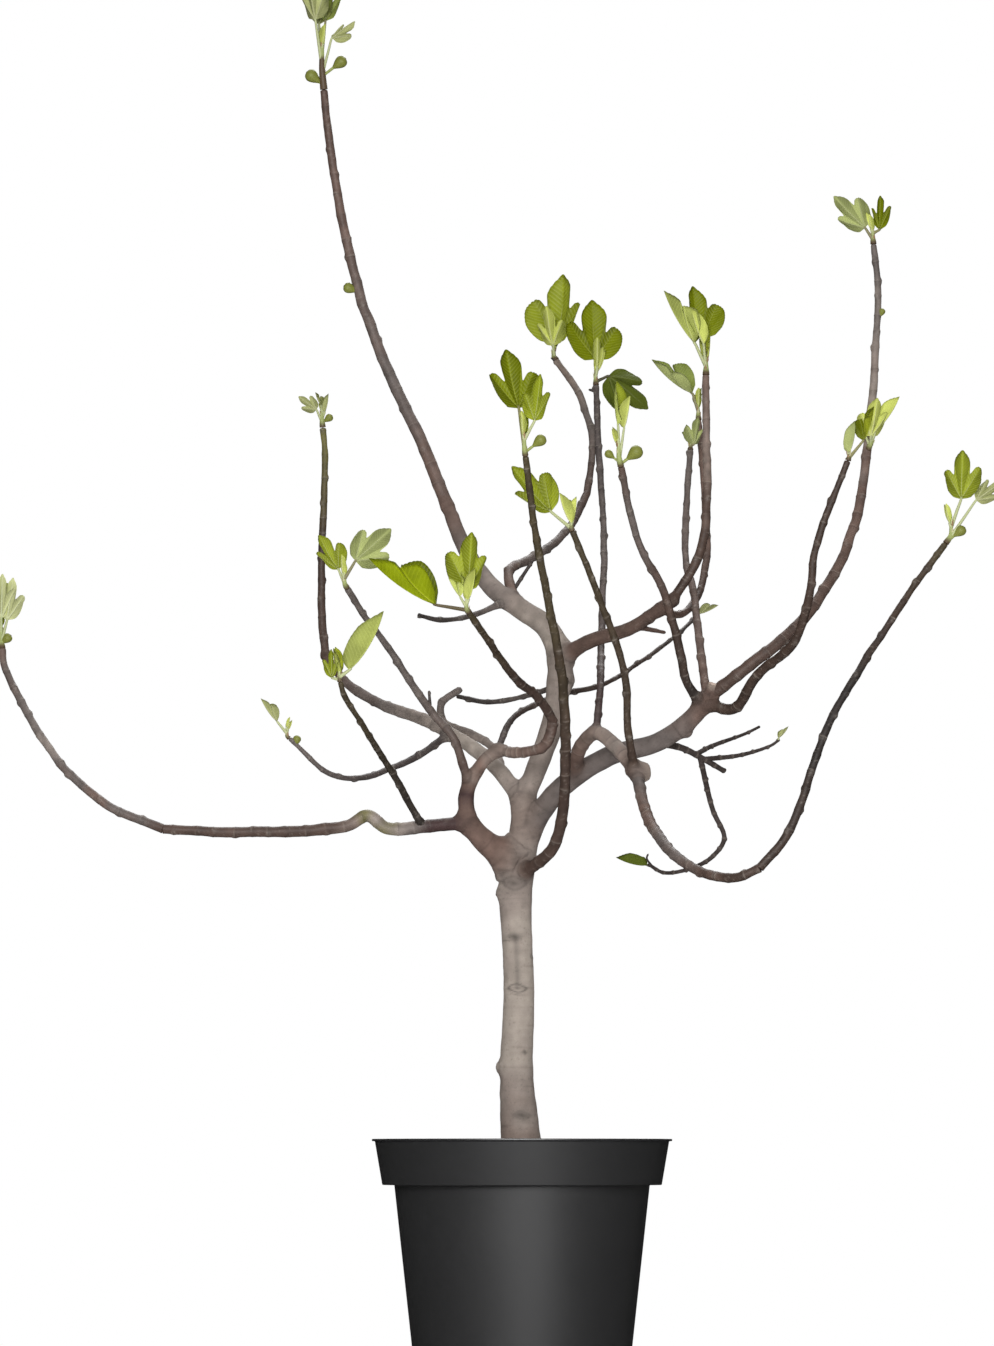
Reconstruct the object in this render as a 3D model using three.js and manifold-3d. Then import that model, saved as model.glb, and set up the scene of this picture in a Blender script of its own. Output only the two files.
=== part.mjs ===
// Young fig tree in leaf break, grown in a round nursery pot.
// Millimetres, +Z up; +X is the tree's right and +Y its back, seen from the front.
// The origin is the middle of the pot's flat underside.

import * as THREE from 'three';
import { mergeVertices } from 'three/addons/utils/BufferGeometryUtils.js';
import Module from 'manifold-3d';

const wasm = await Module();
wasm.setup();

// ---- driving dimensions ----

const gap = 0.3; // clear space between two pieces that touch

const pot = {
  height: 340,
  baseRadius: 139,
  shoulderRadius: 170, // where the wall meets the band
  shoulderHeight: 279,
  bandFoot: 186, // outer radius of the band at its lower and upper edge
  bandTop: 196,
  lipRadius: 200,
  lipHeight: 3,
  wall: 3,
  sides: 32,
};

const soilLevel = 312;

// Outer radius of the trunk at each height on its way from the soil to the fork.
const trunk = {
  by: [[1, 0, soilLevel - 8], [-7, 2, 425], [-4, 4, 541], [-8, 8, 683], [3, 8, 750], [2, 10, 789]],
  girth: [30, 25.5, 22.6, 21.2, 20.5, 20.2, 20.4, 23, 20.5, 16],
};

// A limb leaves its parent `on` at the fraction `at` of the parent's length, passes `by` its way-points,
// and tapers from the first to the second radius in `thick`.
const limbs = {
  left_bough: { on: 'trunk', at: 0.82, thick: [21, 12.5], by: [[-51, -10, 738], [-73, -15, 761]] },
  left_arm: {
    on: 'left_bough', at: 1, thick: [9, 6.1], step: 24,
    by: [[-131, -32, 755], [-180, -40, 752], [-206, -40, 768], [-234, -42, 755], [-376, -48, 746],
      [-478, -40, 751]],
  },
  left_arm_rise: {
    on: 'left_arm', at: 1, thick: [6.1, 4.6],
    by: [[-553, -25, 784], [-619, 0, 842], [-699, 52, 975], [-704, 62, 1002]],
  },
  left_whip: {
    on: 'left_arm', at: 0.15, thick: [4.8, 3.6],
    by: [[-173, -96, 823], [-205, -176, 872], [-232, -225, 914], [-237, -232, 931]],
  },
  left_riser: {
    on: 'left_bough', at: 1, thick: [11.5, 7.5],
    by: [[-73, -24, 803], [-51, -30, 842], [-33, -32, 857]],
  },
  hook_shoot: {
    on: 'left_riser', at: 1, thick: [6.8, 6.8],
    by: [[1, -60, 852], [30, -74, 860], [42, -80, 891]],
  },
  hook_shoot_rise: {
    on: 'hook_shoot', at: 1, thick: [6.2, 4.1],
    by: [[26, -112, 914], [-10, -190, 940], [-70, -325, 1012]],
  },
  back_whip: {
    on: 'left_riser', at: 1, thick: [4.3, 2.7],
    by: [[-11, 10, 904], [64, 100, 946], [107, 125, 957], [210, 220, 1032], [243, 265, 1065]],
  },
  upper_left_bough: {
    on: 'trunk', at: 1, thick: [11, 5.9],
    by: [[-37, 40, 842], [-121, 135, 906], [-194, 215, 940], [-242, 262, 973], [-273, 290, 1014]],
  },
  upper_left_rise: {
    on: 'upper_left_bough', at: 1, thick: [5.8, 4.2],
    by: [[-280, 302, 1087], [-275, 290, 1305], [-278, 286, 1336]],
  },
  cut_stub: {
    on: 'upper_left_bough', at: 0.11, thick: [6.3, 4.6],
    by: [[-39, 84, 869], [-70, 112, 891], [-107, 138, 910], [-109, 146, 935], [-85, 152, 954]],
  },
  slant_shoot: {
    on: 'left_riser', at: 0.46, thick: [6, 3.9],
    by: [[-92, -58, 871], [-119, -52, 904], [-184, -130, 995], [-210, -178, 1027], [-229, -215, 1055]],
  },
  droop_shoot: {
    on: 'upper_left_bough', at: 0.38, thick: [5.2, 2.9],
    by: [[-141, 84, 858], [-220, 20, 823], [-258, -6, 828], [-311, -30, 873]],
  },
  centre_bough: {
    on: 'trunk', at: 1, thick: [12.8, 16.5],
    by: [[44, 34, 907], [50, 40, 959], [54, 42, 992]],
  },
  leader: {
    on: 'centre_bough', at: 1, thick: [16, 9],
    by: [[32, 48, 1032], [1, 54, 1054], [-40, 72, 1087], [-74, 104, 1138], [-101, 128, 1204]],
  },
  leader_rise: {
    on: 'leader', at: 1, thick: [9, 5.2],
    by: [[-134, 144, 1288], [-184, 166, 1399], [-221, 178, 1499], [-250, 184, 1619], [-270, 176, 1752],
      [-274, 172, 1794]],
  },
  right_upper_bough: {
    on: 'centre_bough', at: 0.98, thick: [10.5, 8],
    by: [[93, 4, 1007], [144, -18, 1021], [177, -30, 1041], [202, -32, 1058]],
  },
  right_inner_shoot: {
    on: 'right_upper_bough', at: 1, thick: [6.4, 4.7],
    by: [[240, -32, 1128], [250, 30, 1372]],
  },
  right_back_shoot: {
    on: 'right_upper_bough', at: 0.88, thick: [5.4, 4.2],
    by: [[215, 30, 1046], [242, 92, 1081], [255, 146, 1146], [253, 190, 1249], [247, 212, 1336]],
  },
  hook_riser: {
    on: 'leader', at: 0.33, thick: [7.2, 5],
    by: [[-17, 92, 1109], [23, 160, 1142], [65, 226, 1184], [93, 276, 1242]],
  },
  hook_riser_top: {
    on: 'hook_riser', at: 1, thick: [5, 4.6],
    by: [[101, 320, 1321], [84, 350, 1390], [51, 376, 1445]],
  },
  right_bough: {
    on: 'trunk', at: 0.89, thick: [14.5, 11.6],
    by: [[46, -14, 801], [115, -36, 848], [180, -46, 866], [222, -54, 894], [246, -62, 923]],
  },
  arch: {
    on: 'right_bough', at: 0.34, thick: [8.8, 9.6],
    by: [[80, -72, 862], [99, -92, 875], [139, -130, 836], [151, -144, 815]],
  },
  centre_whip: {
    on: 'arch', at: 0.5, thick: [5, 4.2],
    by: [[104, -40, 937], [108, 60, 1014], [114, 144, 1160], [109, 196, 1264], [105, 246, 1390]],
  },
  right_long_shoot: {
    on: 'right_bough', at: 1, thick: [8.4, 4.2],
    by: [[298, -84, 963], [358, -74, 1012], [407, -40, 1074], [445, -10, 1157], [465, 18, 1250],
      [486, 60, 1493], [481, 66, 1558]],
  },
  right_front_shoot: {
    on: 'right_bough', at: 0.98, thick: [7.4, 4],
    by: [[280, -82, 908], [308, -130, 947], [356, -196, 988], [372, -224, 1038], [382, -240, 1108],
      [423, -248, 1218]],
  },
  right_left_shoot: {
    on: 'right_bough', at: 0.97, thick: [6.1, 4.3],
    by: [[219, -84, 942], [210, -104, 978], [188, -134, 1054], [149, -184, 1127], [128, -236, 1212]],
  },
  right_back_riser: {
    on: 'right_bough', at: 1, thick: [5.6, 4.1],
    by: [[238, -10, 1004], [232, 48, 1081], [224, 84, 1126], [226, 120, 1199], [233, 150, 1286]],
  },
  loop: {
    on: 'arch', at: 1, thick: [7.6, 5.8],
    by: [[162, -200, 759], [192, -286, 705], [228, -338, 677], [272, -376, 669], [299, -386, 680]],
  },
  loop_rise: {
    on: 'loop', at: 1, thick: [5.8, 4.1],
    by: [[335, -382, 724], [391, -352, 868], [494, -302, 1034], [546, -287, 1105]],
  },
  knob_shoot: {
    on: 'arch', at: 0.96, thick: [5.3, 3.9],
    by: [[138, -176, 873], [132, -204, 947], [84, -264, 1075], [64, -282, 1122]],
  },
  front_shoot: {
    on: 'trunk', at: 0.8, thick: [8.4, 3.9],
    by: [[19, -34, 705], [40, -62, 724], [53, -100, 768], [53, -196, 923], [17, -310, 1110],
      [3, -361, 1209]],
  },
  dead_twig_left: {
    on: 'centre_bough', at: 0.8, thick: [4, 2.9],
    by: [[12, 84, 941], [-43, 112, 933], [-89, 134, 944]],
  },
  dead_twig_leader: {
    on: 'leader', at: 0.38, thick: [4.6, 2.7],
    by: [[-61, 30, 1046], [-105, -4, 1034], [-140, -24, 1039]],
  },
};

// Knobs, pruning stubs and side buds fused to a limb: where along it, the compass turn (0 right, 90 back),
// the lean from upright, the length beyond the bark and the radius at both ends.
const spurs = [
  { on: 'droop_shoot', at: 0.96, turn: 20, lean: 20, long: 9, thick: [2, 5.5] },
  { on: 'arch', at: 0.97, turn: 20, lean: 85, long: 8, thick: [11, 10] },
  { on: 'right_bough', at: 0.86, turn: 0, lean: 160, long: 5, thick: [7, 5] },
  { on: 'right_bough', at: 0.985, turn: 10, lean: 40, long: 10, thick: [7, 6.5] },
  { on: 'slant_shoot', at: 0.33, turn: 180, lean: 4, long: 22, thick: [2.6, 1.5] },
  { on: 'cut_stub', at: 0.76, turn: 180, lean: 10, long: 14, thick: [3.5, 1.6] },
  { on: 'right_upper_bough', at: 0.66, turn: 10, lean: 100, long: 36, thick: [4, 2.2] },
  { on: 'centre_whip', at: 0.985, turn: 180, lean: 80, long: 7, thick: [3.2, 1.4] },
  { on: 'hook_riser_top', at: 0.98, turn: 180, lean: 55, long: 8, thick: [2.6, 0.9] },
  { on: 'right_long_shoot', at: 0.85, turn: 0, lean: 24, long: 16, thick: [3.4, 4.6] },
  { on: 'leader_rise', at: 0.535, turn: 180, lean: 66, long: 17, thick: [2.6, 7.4] },
  { on: 'trunk', at: 0.27, turn: 180, lean: 90, long: 4, thick: [11, 5] },
  { on: 'trunk', at: 0.75, turn: 190, lean: 90, long: 3, thick: [9, 5] },
  { on: 'centre_bough', at: 0.84, turn: 0, lean: 95, long: 3, thick: [12, 7] },
  { on: 'hook_riser', at: 0.08, turn: 20, lean: 34, long: 46, thick: [3, 2.2] },
];

// A spray of leaves on a short stem that grows on from the tip of a limb.
// Each leaf is [[turn, lean, length] of the stalk, the same of the blade, spread, roll]; spread runs from
// 0, folded, to 1, flat, and roll turns the blade about its midrib.
// Each fig is [turn, place along the stem, radius, stalk length].
const sprays = {
  leader_leaves: {
    on: 'leader_rise', stem: 62,
    leaves: [[[-10, 15, 52], [-5, 55, 42], 0.6, -100],
      [[-145, 10, 64], [-125, 15, 68], 0.6, 20],
      [[60, 10, 54], [70, 15, 60], 0.6, 20],
      [[110, 20, 40], [100, 20, 76], 0.6]],
    figs: [[180, 0.1, 9, 12], [0, 0.3, 8.5, 24]],
  },
  left_rise_leaves: {
    on: 'upper_left_rise', stem: 20,
    leaves: [[[-165, 25, 20], [-170, 55, 32], 0.8, 80],
      [[5, 25, 10], [10, 10, 28], 0.2],
      [[120, 15, 14], [155, 25, 22], 0.5]],
    figs: [[0, 0.3, 5.5, 7]],
  },
  slant_leaves: {
    on: 'slant_shoot', stem: 14,
    leaves: [[[155, 25, 24], [165, 30, 56], 0.75, -50],
      [[-25, 35, 28], [-15, 50, 66], 0.9, -80]],
  },
  hook_leaves: {
    on: 'hook_shoot_rise', stem: 12,
    leaves: [[[175, 80, 40], [175, 55, 112], 0.4],
      [[-155, 35, 16], [-150, 35, 30], 0.4],
      [[80, 20, 20], [65, 10, 80], 0.7, 20]],
  },
  left_arm_leaves: {
    on: 'left_arm_rise', stem: 26,
    leaves: [[[-20, 15, 32], [-35, 10, 60], 0.6, -50],
      [[165, 15, 32], [165, 10, 80], 0.6],
      [[-85, 25, 20], [-80, 15, 64], 0.5]],
    figs: [[0, 0.3, 6, 12]],
  },
  droop_leaf: {
    on: 'droop_shoot', stem: 8,
    leaves: [[[-170, 40, 20], [-170, 35, 40], 0.3]],
  },
  left_whip_leaves: {
    on: 'left_whip', stem: 6,
    leaves: [[[165, 75, 11], [100, 10, 40], 0.5, -10],
      [[-10, 55, 16], [-10, 30, 92], 0.25]],
  },
  front_leaves: {
    on: 'front_shoot', stem: 22,
    leaves: [[[140, 10, 56], [140, 15, 84], 0.8, -45],
      [[-20, 30, 28], [-45, 10, 68], 0.6, 130]],
    figs: [[0, 0.2, 7.5, 18]],
  },
  knob_leaves: {
    on: 'knob_shoot', stem: 8,
    leaves: [[[165, 50, 36], [170, 40, 82], 0.7, -60],
      [[-90, 65, 4], [-145, 25, 44], 0.25]],
  },
  hook_riser_leaves: {
    on: 'hook_riser_top', stem: 14,
    leaves: [[[-105, 25, 18], [-130, 15, 60], 0.7, 20],
      [[60, 25, 16], [55, 10, 108], 0.85, 10]],
  },
  centre_whip_leaves: {
    on: 'centre_whip', stem: 16,
    leaves: [[[5, 65, 20], [5, 130, 76], 0.8, -80],
      [[-70, 20, 16], [-90, 15, 44], 0.25],
      [[85, 10, 24], [125, 6, 90], 1, -30]],
  },
  right_left_leaves: {
    on: 'right_left_shoot', stem: 26,
    leaves: [[[-30, 10, 42], [-50, 15, 44], 0.25],
      [[115, 4, 32], [105, 4, 60], 0.28, 20]],
    figs: [[0, 0.1, 9, 17], [180, 0.2, 5.5, 13]],
  },
  right_inner_leaves: {
    on: 'right_inner_shoot', stem: 18,
    leaves: [[[-125, 10, 36], [-140, 25, 52], 0.25],
      [[175, 25, 36], [175, 30, 88], 0.5],
      [[120, 10, 36], [135, 15, 80], 0.8, -20]],
  },
  right_back_leaves: {
    on: 'right_back_shoot', stem: 14,
    leaves: [[[100, 10, 16], [45, 15, 28], 0.5],
      [[-160, 20, 26], [-175, 50, 76], 0.6, -20]],
  },
  back_riser_leaves: {
    on: 'right_back_riser', stem: 6,
    leaves: [[[100, 15, 9], [135, 15, 28], 0.6, -50],
      [[-40, 75, 6], [-55, 15, 40], 0.7, -10]],
  },
  long_shoot_leaves: {
    on: 'right_long_shoot', stem: 16,
    leaves: [[[-165, 35, 20], [-175, 45, 64], 0.75, 60],
      [[20, 60, 12], [80, 10, 52], 0.5, 10]],
  },
  side_leaves: {
    on: 'right_long_shoot', at: 0.6, stem: 16,
    leaves: [[[-145, 30, 16], [-120, 30, 26], 0.5],
      [[-95, 50, 12], [-70, 25, 56], 0.8, -10],
      [[-15, 25, 16], [-5, 35, 56], 0.2]],
  },
  front_right_leaves: {
    on: 'right_front_shoot', stem: 7,
    leaves: [[[15, 40, 32], [35, 20, 52], 0.5],
      [[-90, 20, 4], [-20, 10, 44], 0.2]],
  },
  loop_leaves: {
    on: 'loop_rise', stem: 24,
    leaves: [[[-5, 35, 60], [-10, 55, 48], 0.6, -80],
      [[10, 20, 40], [60, 5, 68], 0.75, 25]],
    figs: [[0, 0.15, 7, 15]],
  },
  whip_tip_leaf: {
    on: 'back_whip', stem: 4,
    leaves: [[[0, 60, 5], [0, 65, 32], 0.5]],
  },
};

// Dead side wood that forks again and again; `twigs` grow on `stem`, and a small leaf may end one.
const deadWood = {
  dead_twigs: {
    on: 'right_bough', at: 0.72,
    stem: { thick: [5, 3.4], by: [[213, -20, 861], [244, 8, 848], [274, 34, 833]] },
    twigs: [
      { at: 0.55, thick: [3.6, 1.8], by: [[256, 28, 867], [303, 68, 887], [324, 80, 898]] },
      {
        at: 0.68, thick: [3.6, 1.8], by: [[296, 40, 856], [338, 66, 871], [350, 74, 880]],
        leaf: [[10, 20, 4], [10, 40, 22], 0.6],
      },
    ],
  },
  hanging_twig: {
    on: 'dead_twigs', at: 0.62,
    stem: {
      thick: [4, 2.3],
      by: [[258, 50, 782], [273, 46, 744], [256, 34, 718], [223, 6, 700], [190, -16, 694], [168, -40, 704]],
    },
    twigs: [{ at: 0.97, thick: [1.8, 1.2], by: [[166, -42, 712], [168, -44, 718]] }],
    leaf: [[-170, 80, 5], [-170, 76, 46], 0.1],
  },
};

const leafThickness = 1.1;
const stepLength = 44; // between two rings of a limb
const stalkRadii = [1.5, 2.3]; // on the smallest leaf and on one of 100 mm or more
const leafWaver = 16; // degrees of seeded roll about the midrib
const figLean = 52; // degrees from upright
const figSides = 5;
const tidy = 0.1; // slivers smaller than this are merged away
const colours = {
  bark: [0x8d8178, 0.75], shoot: [0x54463a, 0.6], leaf: [0x8a9c2e, 0.55], deadWood: [0x4a443f, 0.8],
  pot: [0x3a3a3b, 0.45], soil: [0x3b2c21, 0.95],
};

// ---- solids ----

const up = new THREE.Vector3(0, 0, 1);
const radians = THREE.MathUtils.degToRad;
const vector = (p) => new THREE.Vector3(...p);
const mix = THREE.MathUtils.lerp;

// Repeatable number from 0 to 1 for each whole number.
function chance(n) {
  const wave = Math.sin(n * 12.9898) * 43758.5453;
  return wave - Math.floor(wave);
}

// Closed triangle mesh to solid; a mesh wound inside out is turned round.
function toSolid(points, faces) {
  const vertProperties = new Float32Array(points.flatMap((p) => [p.x, p.y, p.z]));
  const closed = (indices) => {
    const triVerts = new Uint32Array(indices);
    return new wasm.Manifold(new wasm.Mesh({ numProp: 3, vertProperties, triVerts }));
  };
  const solid = closed(faces.flat());
  return solid.volume() > 0 ? solid : closed(faces.flatMap(([a, b, c]) => [a, c, b]));
}

// The largest connected piece: loose scraps and sealed hollows fall away.
function largestPiece(solid) {
  return solid.decompose().reduce((best, piece) => (piece.volume() > best.volume() ? piece : best));
}

function toMesh(name, solid, [colour, roughness]) {
  const { vertProperties, triVerts } = solid.getMesh();
  const geometry = new THREE.BufferGeometry();
  geometry.setAttribute('position', new THREE.BufferAttribute(vertProperties, 3));
  geometry.setIndex(new THREE.BufferAttribute(triVerts, 1));
  geometry.computeVertexNormals();
  const material = new THREE.MeshStandardMaterial({ color: colour, roughness, metalness: 0 });
  const mesh = new THREE.Mesh(geometry, material);
  mesh.name = name;
  return mesh;
}

function boxesMeet(a, b) {
  const p = a.boundingBox();
  const q = b.boundingBox();
  return [0, 1, 2].every((i) => p.min[i] <= q.max[i] && q.min[i] <= p.max[i]);
}

const meets = (a, b) => boxesMeet(a, b) && a.intersect(b).volume() > 0.001;

// Cuts away what lies inside any of the others.
function cutClear(solid, others) {
  const near = others.filter((other) => boxesMeet(solid, other));
  return near.reduce((left, other) => left.subtract(other), solid);
}

// Tube along a curve, its radius a function of the fraction run; `extra` thickens and lengthens it.
function tube(curve, radiusAt, sides, extra = 0, step = stepLength) {
  const steps = Math.max(2, Math.ceil(curve.getLength() / step));
  const frames = curve.computeFrenetFrames(steps, false);
  const points = [];
  for (let i = 0; i <= steps; i += 1) {
    const centre = curve.getPointAt(i / steps);
    if (i === 0) centre.addScaledVector(frames.tangents[i], -extra);
    if (i === steps) centre.addScaledVector(frames.tangents[i], extra);
    for (let k = 0; k < sides; k += 1) {
      const angle = (2 * Math.PI * k) / sides;
      const radius = radiusAt(i / steps) + extra;
      points.push(centre.clone()
        .addScaledVector(frames.normals[i], radius * Math.cos(angle))
        .addScaledVector(frames.binormals[i], radius * Math.sin(angle)));
    }
  }
  const faces = [];
  for (let i = 0; i < steps; i += 1) {
    for (let k = 0; k < sides; k += 1) {
      const a = i * sides + k;
      const b = i * sides + ((k + 1) % sides);
      faces.push([a, b, a + sides], [b, b + sides, a + sides]);
    }
  }
  const last = steps * sides;
  for (let k = 1; k < sides - 1; k += 1) faces.push([0, k + 1, k], [last, last + k, last + k + 1]);
  return toSolid(points, faces);
}

function curveFrom(start, by) {
  return new THREE.CatmullRomCurve3([start, ...by.map(vector)], false, 'centripetal');
}

const taper = ([root, tip]) => (t) => mix(root, tip, t);

// Radius read off a list of evenly spaced girths.
function girthAt(girth) {
  return (t) => {
    const place = t * (girth.length - 1);
    const i = Math.min(Math.floor(place), girth.length - 2);
    return mix(girth[i], girth[i + 1], place - i);
  };
}

// Unit vector from its compass turn and its lean from upright, in degrees.
function heading(turn, lean) {
  const [t, l] = [radians(turn), radians(lean)];
  return new THREE.Vector3(Math.sin(l) * Math.cos(t), Math.sin(l) * Math.sin(t), Math.cos(l));
}

// ---- leaves and figs ----

// A fig leaf is the outline round lobes that are ellipses through the foot of the blade, cut in
// between them at `cutAngle`. Leaves that are still folded have no side lobes.
const lobes = [
  { angle: 0, long: 1, wide: 0.62 },
  { angle: 37, long: 0.74, wide: 0.62 },
];
const cutAngle = 24;
const cutDepth = 0.18;
const cutWidth = 4;
const leastReach = 0.1;
const lobedFrom = 0.3; // spread
const ribPlaces = [0, 0.35, 0.7, 1];
// Round the edge from behind the foot to the tip: the angle off the midrib, and the rib place behind it.
const edgePlaces = [[104, 0], [80, 0], [56, 1], [36, 1], [24, 1], [13, 2]];

function outlineAt(angle, lobed) {
  const reach = ({ angle: middle, long, wide }) => {
    const off = radians(Math.abs(angle) - middle);
    const [c, s] = [Math.cos(off), Math.sin(off)];
    return c <= 0 ? 0 : (long * c) / (c * c + (long * s / wide) ** 2);
  };
  if (!lobed) return Math.max(leastReach, reach(lobes[0]));
  const cut = cutDepth * Math.exp(-(((angle - cutAngle) / cutWidth) ** 2));
  return (1 - cut) * Math.max(leastReach, ...lobes.map(reach));
}

// Place of a blade point: `along` the midrib, `across` it and `rise` off its upper face.
// Each half cups upward, folds up about the midrib and curls with it.
function bladePoint(leaf, along, across, rise) {
  const half = Math.abs(across);
  const cup = Math.max(leaf.cup * half / leaf.long, 1e-4);
  const out = half * Math.sin(cup) / cup - rise * Math.sin(cup);
  const high = half * (1 - Math.cos(cup)) / cup + rise * Math.cos(cup);
  const fold = half > 0 ? leaf.fold : 0;
  const side = Math.sign(across) * (out * Math.cos(fold) - high * Math.sin(fold));
  const lift = out * Math.sin(fold) + high * Math.cos(fold);
  const turn = leaf.curl * along / leaf.long;
  const arc = leaf.long / leaf.curl;
  return leaf.foot.clone()
    .addScaledVector(leaf.ahead, arc * Math.sin(turn) - lift * Math.sin(turn))
    .addScaledVector(leaf.face, arc * (1 - Math.cos(turn)) + lift * Math.cos(turn))
    .addScaledVector(leaf.side, side);
}

// From folded to flat: how far a blade's halves are drawn in, folded up (degrees) and cupped (radians).
// A leaf without side lobes is drawn in by `simpleDraw`. Curl is the least and the most, in radians.
const leafPose = {
  draw: [0.5, 1],
  simpleDraw: 0.75,
  fold: [52, 6],
  cup: [0.9, 0.5],
  moreCup: 0.3,
  curl: [0.25, 0.6],
};

// Where a leaf starts, which way its stalk and blade point and how far it is open, by the seeded rule.
// A leaf that is still folded has its lobes drawn together too.
function growLeaf(root, [[stalkTurn, stalkLean, stalkLong], [turn, lean, long], spread, roll = 0], seed) {
  const stalkWay = heading(stalkTurn, stalkLean);
  const ahead = heading(turn, lean);
  const tilt = radians(roll + leafWaver * (chance(seed) - 0.5));
  const face = heading(turn + 180, 90 - lean).applyAxisAngle(ahead, tilt);
  const side = ahead.clone().cross(face);
  const curl = mix(...leafPose.curl, chance(seed + 2));
  const lobed = spread >= lobedFrom;
  [ahead, face].forEach((way) => way.applyAxisAngle(side, -curl / 2)); // so that the tip lies dead ahead
  return {
    root,
    elbow: root.clone().addScaledVector(stalkWay, stalkLong * 0.6),
    foot: root.clone().addScaledVector(stalkWay, stalkLong),
    ahead,
    face,
    side,
    long,
    draw: lobed ? mix(...leafPose.draw, spread) : leafPose.simpleDraw,
    fold: radians(mix(...leafPose.fold, spread)),
    cup: mix(...leafPose.cup, spread) + leafPose.moreCup * chance(seed + 1),
    curl,
    lobed,
  };
}

function blade(leaf) {
  const tip = ribPlaces.length - 1;
  const half = edgePlaces.length;
  const points = [];
  for (const rise of [0, -leafThickness]) {
    ribPlaces.forEach((place) => points.push(bladePoint(leaf, leaf.long * place, 0, rise)));
    for (const side of [-1, 1]) {
      for (const [angle] of edgePlaces) {
        const reach = leaf.long * outlineAt(angle, leaf.lobed);
        const drawn = radians(angle * leaf.draw);
        points.push(bladePoint(leaf, reach * Math.cos(drawn), side * reach * Math.sin(drawn), rise));
      }
    }
  }
  const under = points.length / 2; // index step from the upper face to the under face
  const faces = [];
  [ribPlaces.length, ribPlaces.length + half].forEach((first, second) => {
    const face = (a, b, c) => {
      const [p, q] = second ? [b, c] : [c, b];
      faces.push([a, p, q], [a + under, q + under, p + under]);
    };
    const wall = (a, b) => {
      const [p, q] = second ? [a, b] : [b, a];
      faces.push([p, p + under, q], [q, p + under, q + under]);
    };
    wall(0, first);
    edgePlaces.forEach(([, rib], k) => {
      const next = k + 1 < half ? first + k + 1 : tip;
      const nextRib = k + 1 < half ? edgePlaces[k + 1][1] : tip;
      wall(first + k, next);
      if (next !== tip) face(rib, first + k, next);
      if (nextRib !== rib) face(rib, next === tip ? first + k : next, nextRib);
    });
  });
  return toSolid(points, faces);
}

// Stalk from the stem to the blade, running a little way under the midrib so that the two fuse.
function stalk(leaf) {
  const sunk = bladePoint(leaf, leaf.long * 0.05, 0, -0.4);
  const thick = mix(...stalkRadii, Math.min(1, leaf.long / 100));
  return tube(new THREE.CatmullRomCurve3([leaf.root, leaf.elbow, leaf.foot, sunk], false, 'centripetal'),
    taper([thick * 1.15, thick * 0.8]), 3, 0, 40);
}

// A fig is a teardrop turned about the line of its stalk, as radius and height in fig radii.
const figProfile = [[0.3, -1.6], [0.62, -0.95], [0.98, -0.2], [0.86, 0.5], [0.3, 0.95]];

function fig(root, [turn, , radius, stalkLength]) {
  const way = heading(turn, figLean);
  const middle = root.clone().addScaledVector(way, stalkLength + radius);
  const line = new THREE.LineCurve3(root, middle.clone().addScaledVector(way, -radius * 1.2));
  const [right, back] = [way.clone().cross(up).normalize(), new THREE.Vector3()];
  back.crossVectors(way, right);
  const points = figProfile.flatMap(([r, h]) => Array.from({ length: figSides }, (_, k) => {
    const angle = (2 * Math.PI * k) / figSides;
    return middle.clone()
      .addScaledVector(way, h * radius)
      .addScaledVector(right, r * radius * Math.cos(angle))
      .addScaledVector(back, r * radius * Math.sin(angle));
  }));
  const faces = [];
  for (let i = 0; i < figProfile.length - 1; i += 1) {
    for (let k = 0; k < figSides; k += 1) {
      const a = i * figSides + k;
      const b = i * figSides + ((k + 1) % figSides);
      faces.push([a, b, a + figSides], [b, b + figSides, a + figSides]);
    }
  }
  const last = (figProfile.length - 1) * figSides;
  for (let k = 1; k < figSides - 1; k += 1) faces.push([0, k + 1, k], [last, last + k, last + k + 1]);
  return toSolid(points, faces).add(tube(line, taper([2.2, radius * 0.32]), 4, 0, 40));
}

// ---- pot and soil ----

function lathe(profile) {
  const geometry = new THREE.LatheGeometry(profile.map(([r, z]) => new THREE.Vector2(r, z)), pot.sides);
  geometry.rotateX(Math.PI / 2);
  geometry.deleteAttribute('normal');
  geometry.deleteAttribute('uv');
  const { attributes, index } = mergeVertices(geometry, 1e-3);
  const { position } = attributes;
  const pointAt = (_, i) => new THREE.Vector3().fromBufferAttribute(position, i);
  const points = Array.from({ length: position.count }, pointAt);
  const faces = [];
  for (let i = 0; i < index.count; i += 3) {
    const face = [index.getX(i), index.getX(i + 1), index.getX(i + 2)];
    if (new Set(face).size === 3) faces.push(face);
  }
  return toSolid(points, faces);
}

function makePot() {
  const { height, baseRadius, shoulderRadius, shoulderHeight, bandFoot, bandTop } = pot;
  const { lipRadius, lipHeight, wall } = pot;
  return lathe([
    [0, 0], [baseRadius, 0], [shoulderRadius, shoulderHeight], [bandFoot, shoulderHeight],
    [bandTop, height - lipHeight], [lipRadius, height - lipHeight], [lipRadius, height],
    [bandTop - wall, height], [bandFoot - wall, shoulderHeight + wall],
    [shoulderRadius - wall, shoulderHeight + wall],
    [baseRadius - wall, wall], [0, wall],
  ]);
}

function makeSoil() {
  const { height, baseRadius, shoulderRadius, shoulderHeight, bandFoot, bandTop, wall } = pot;
  const inset = wall + gap;
  const shoulder = shoulderHeight + inset;
  const bandAt = mix(bandFoot, bandTop, (soilLevel - shoulder) / (height - shoulder)) - inset;
  return lathe([
    [0, inset], [baseRadius - inset, inset], [shoulderRadius - inset, shoulder],
    [bandFoot - inset, shoulder],
    [bandAt - 1, soilLevel], [0, soilLevel],
  ]);
}

// ---- the tree ----

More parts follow.
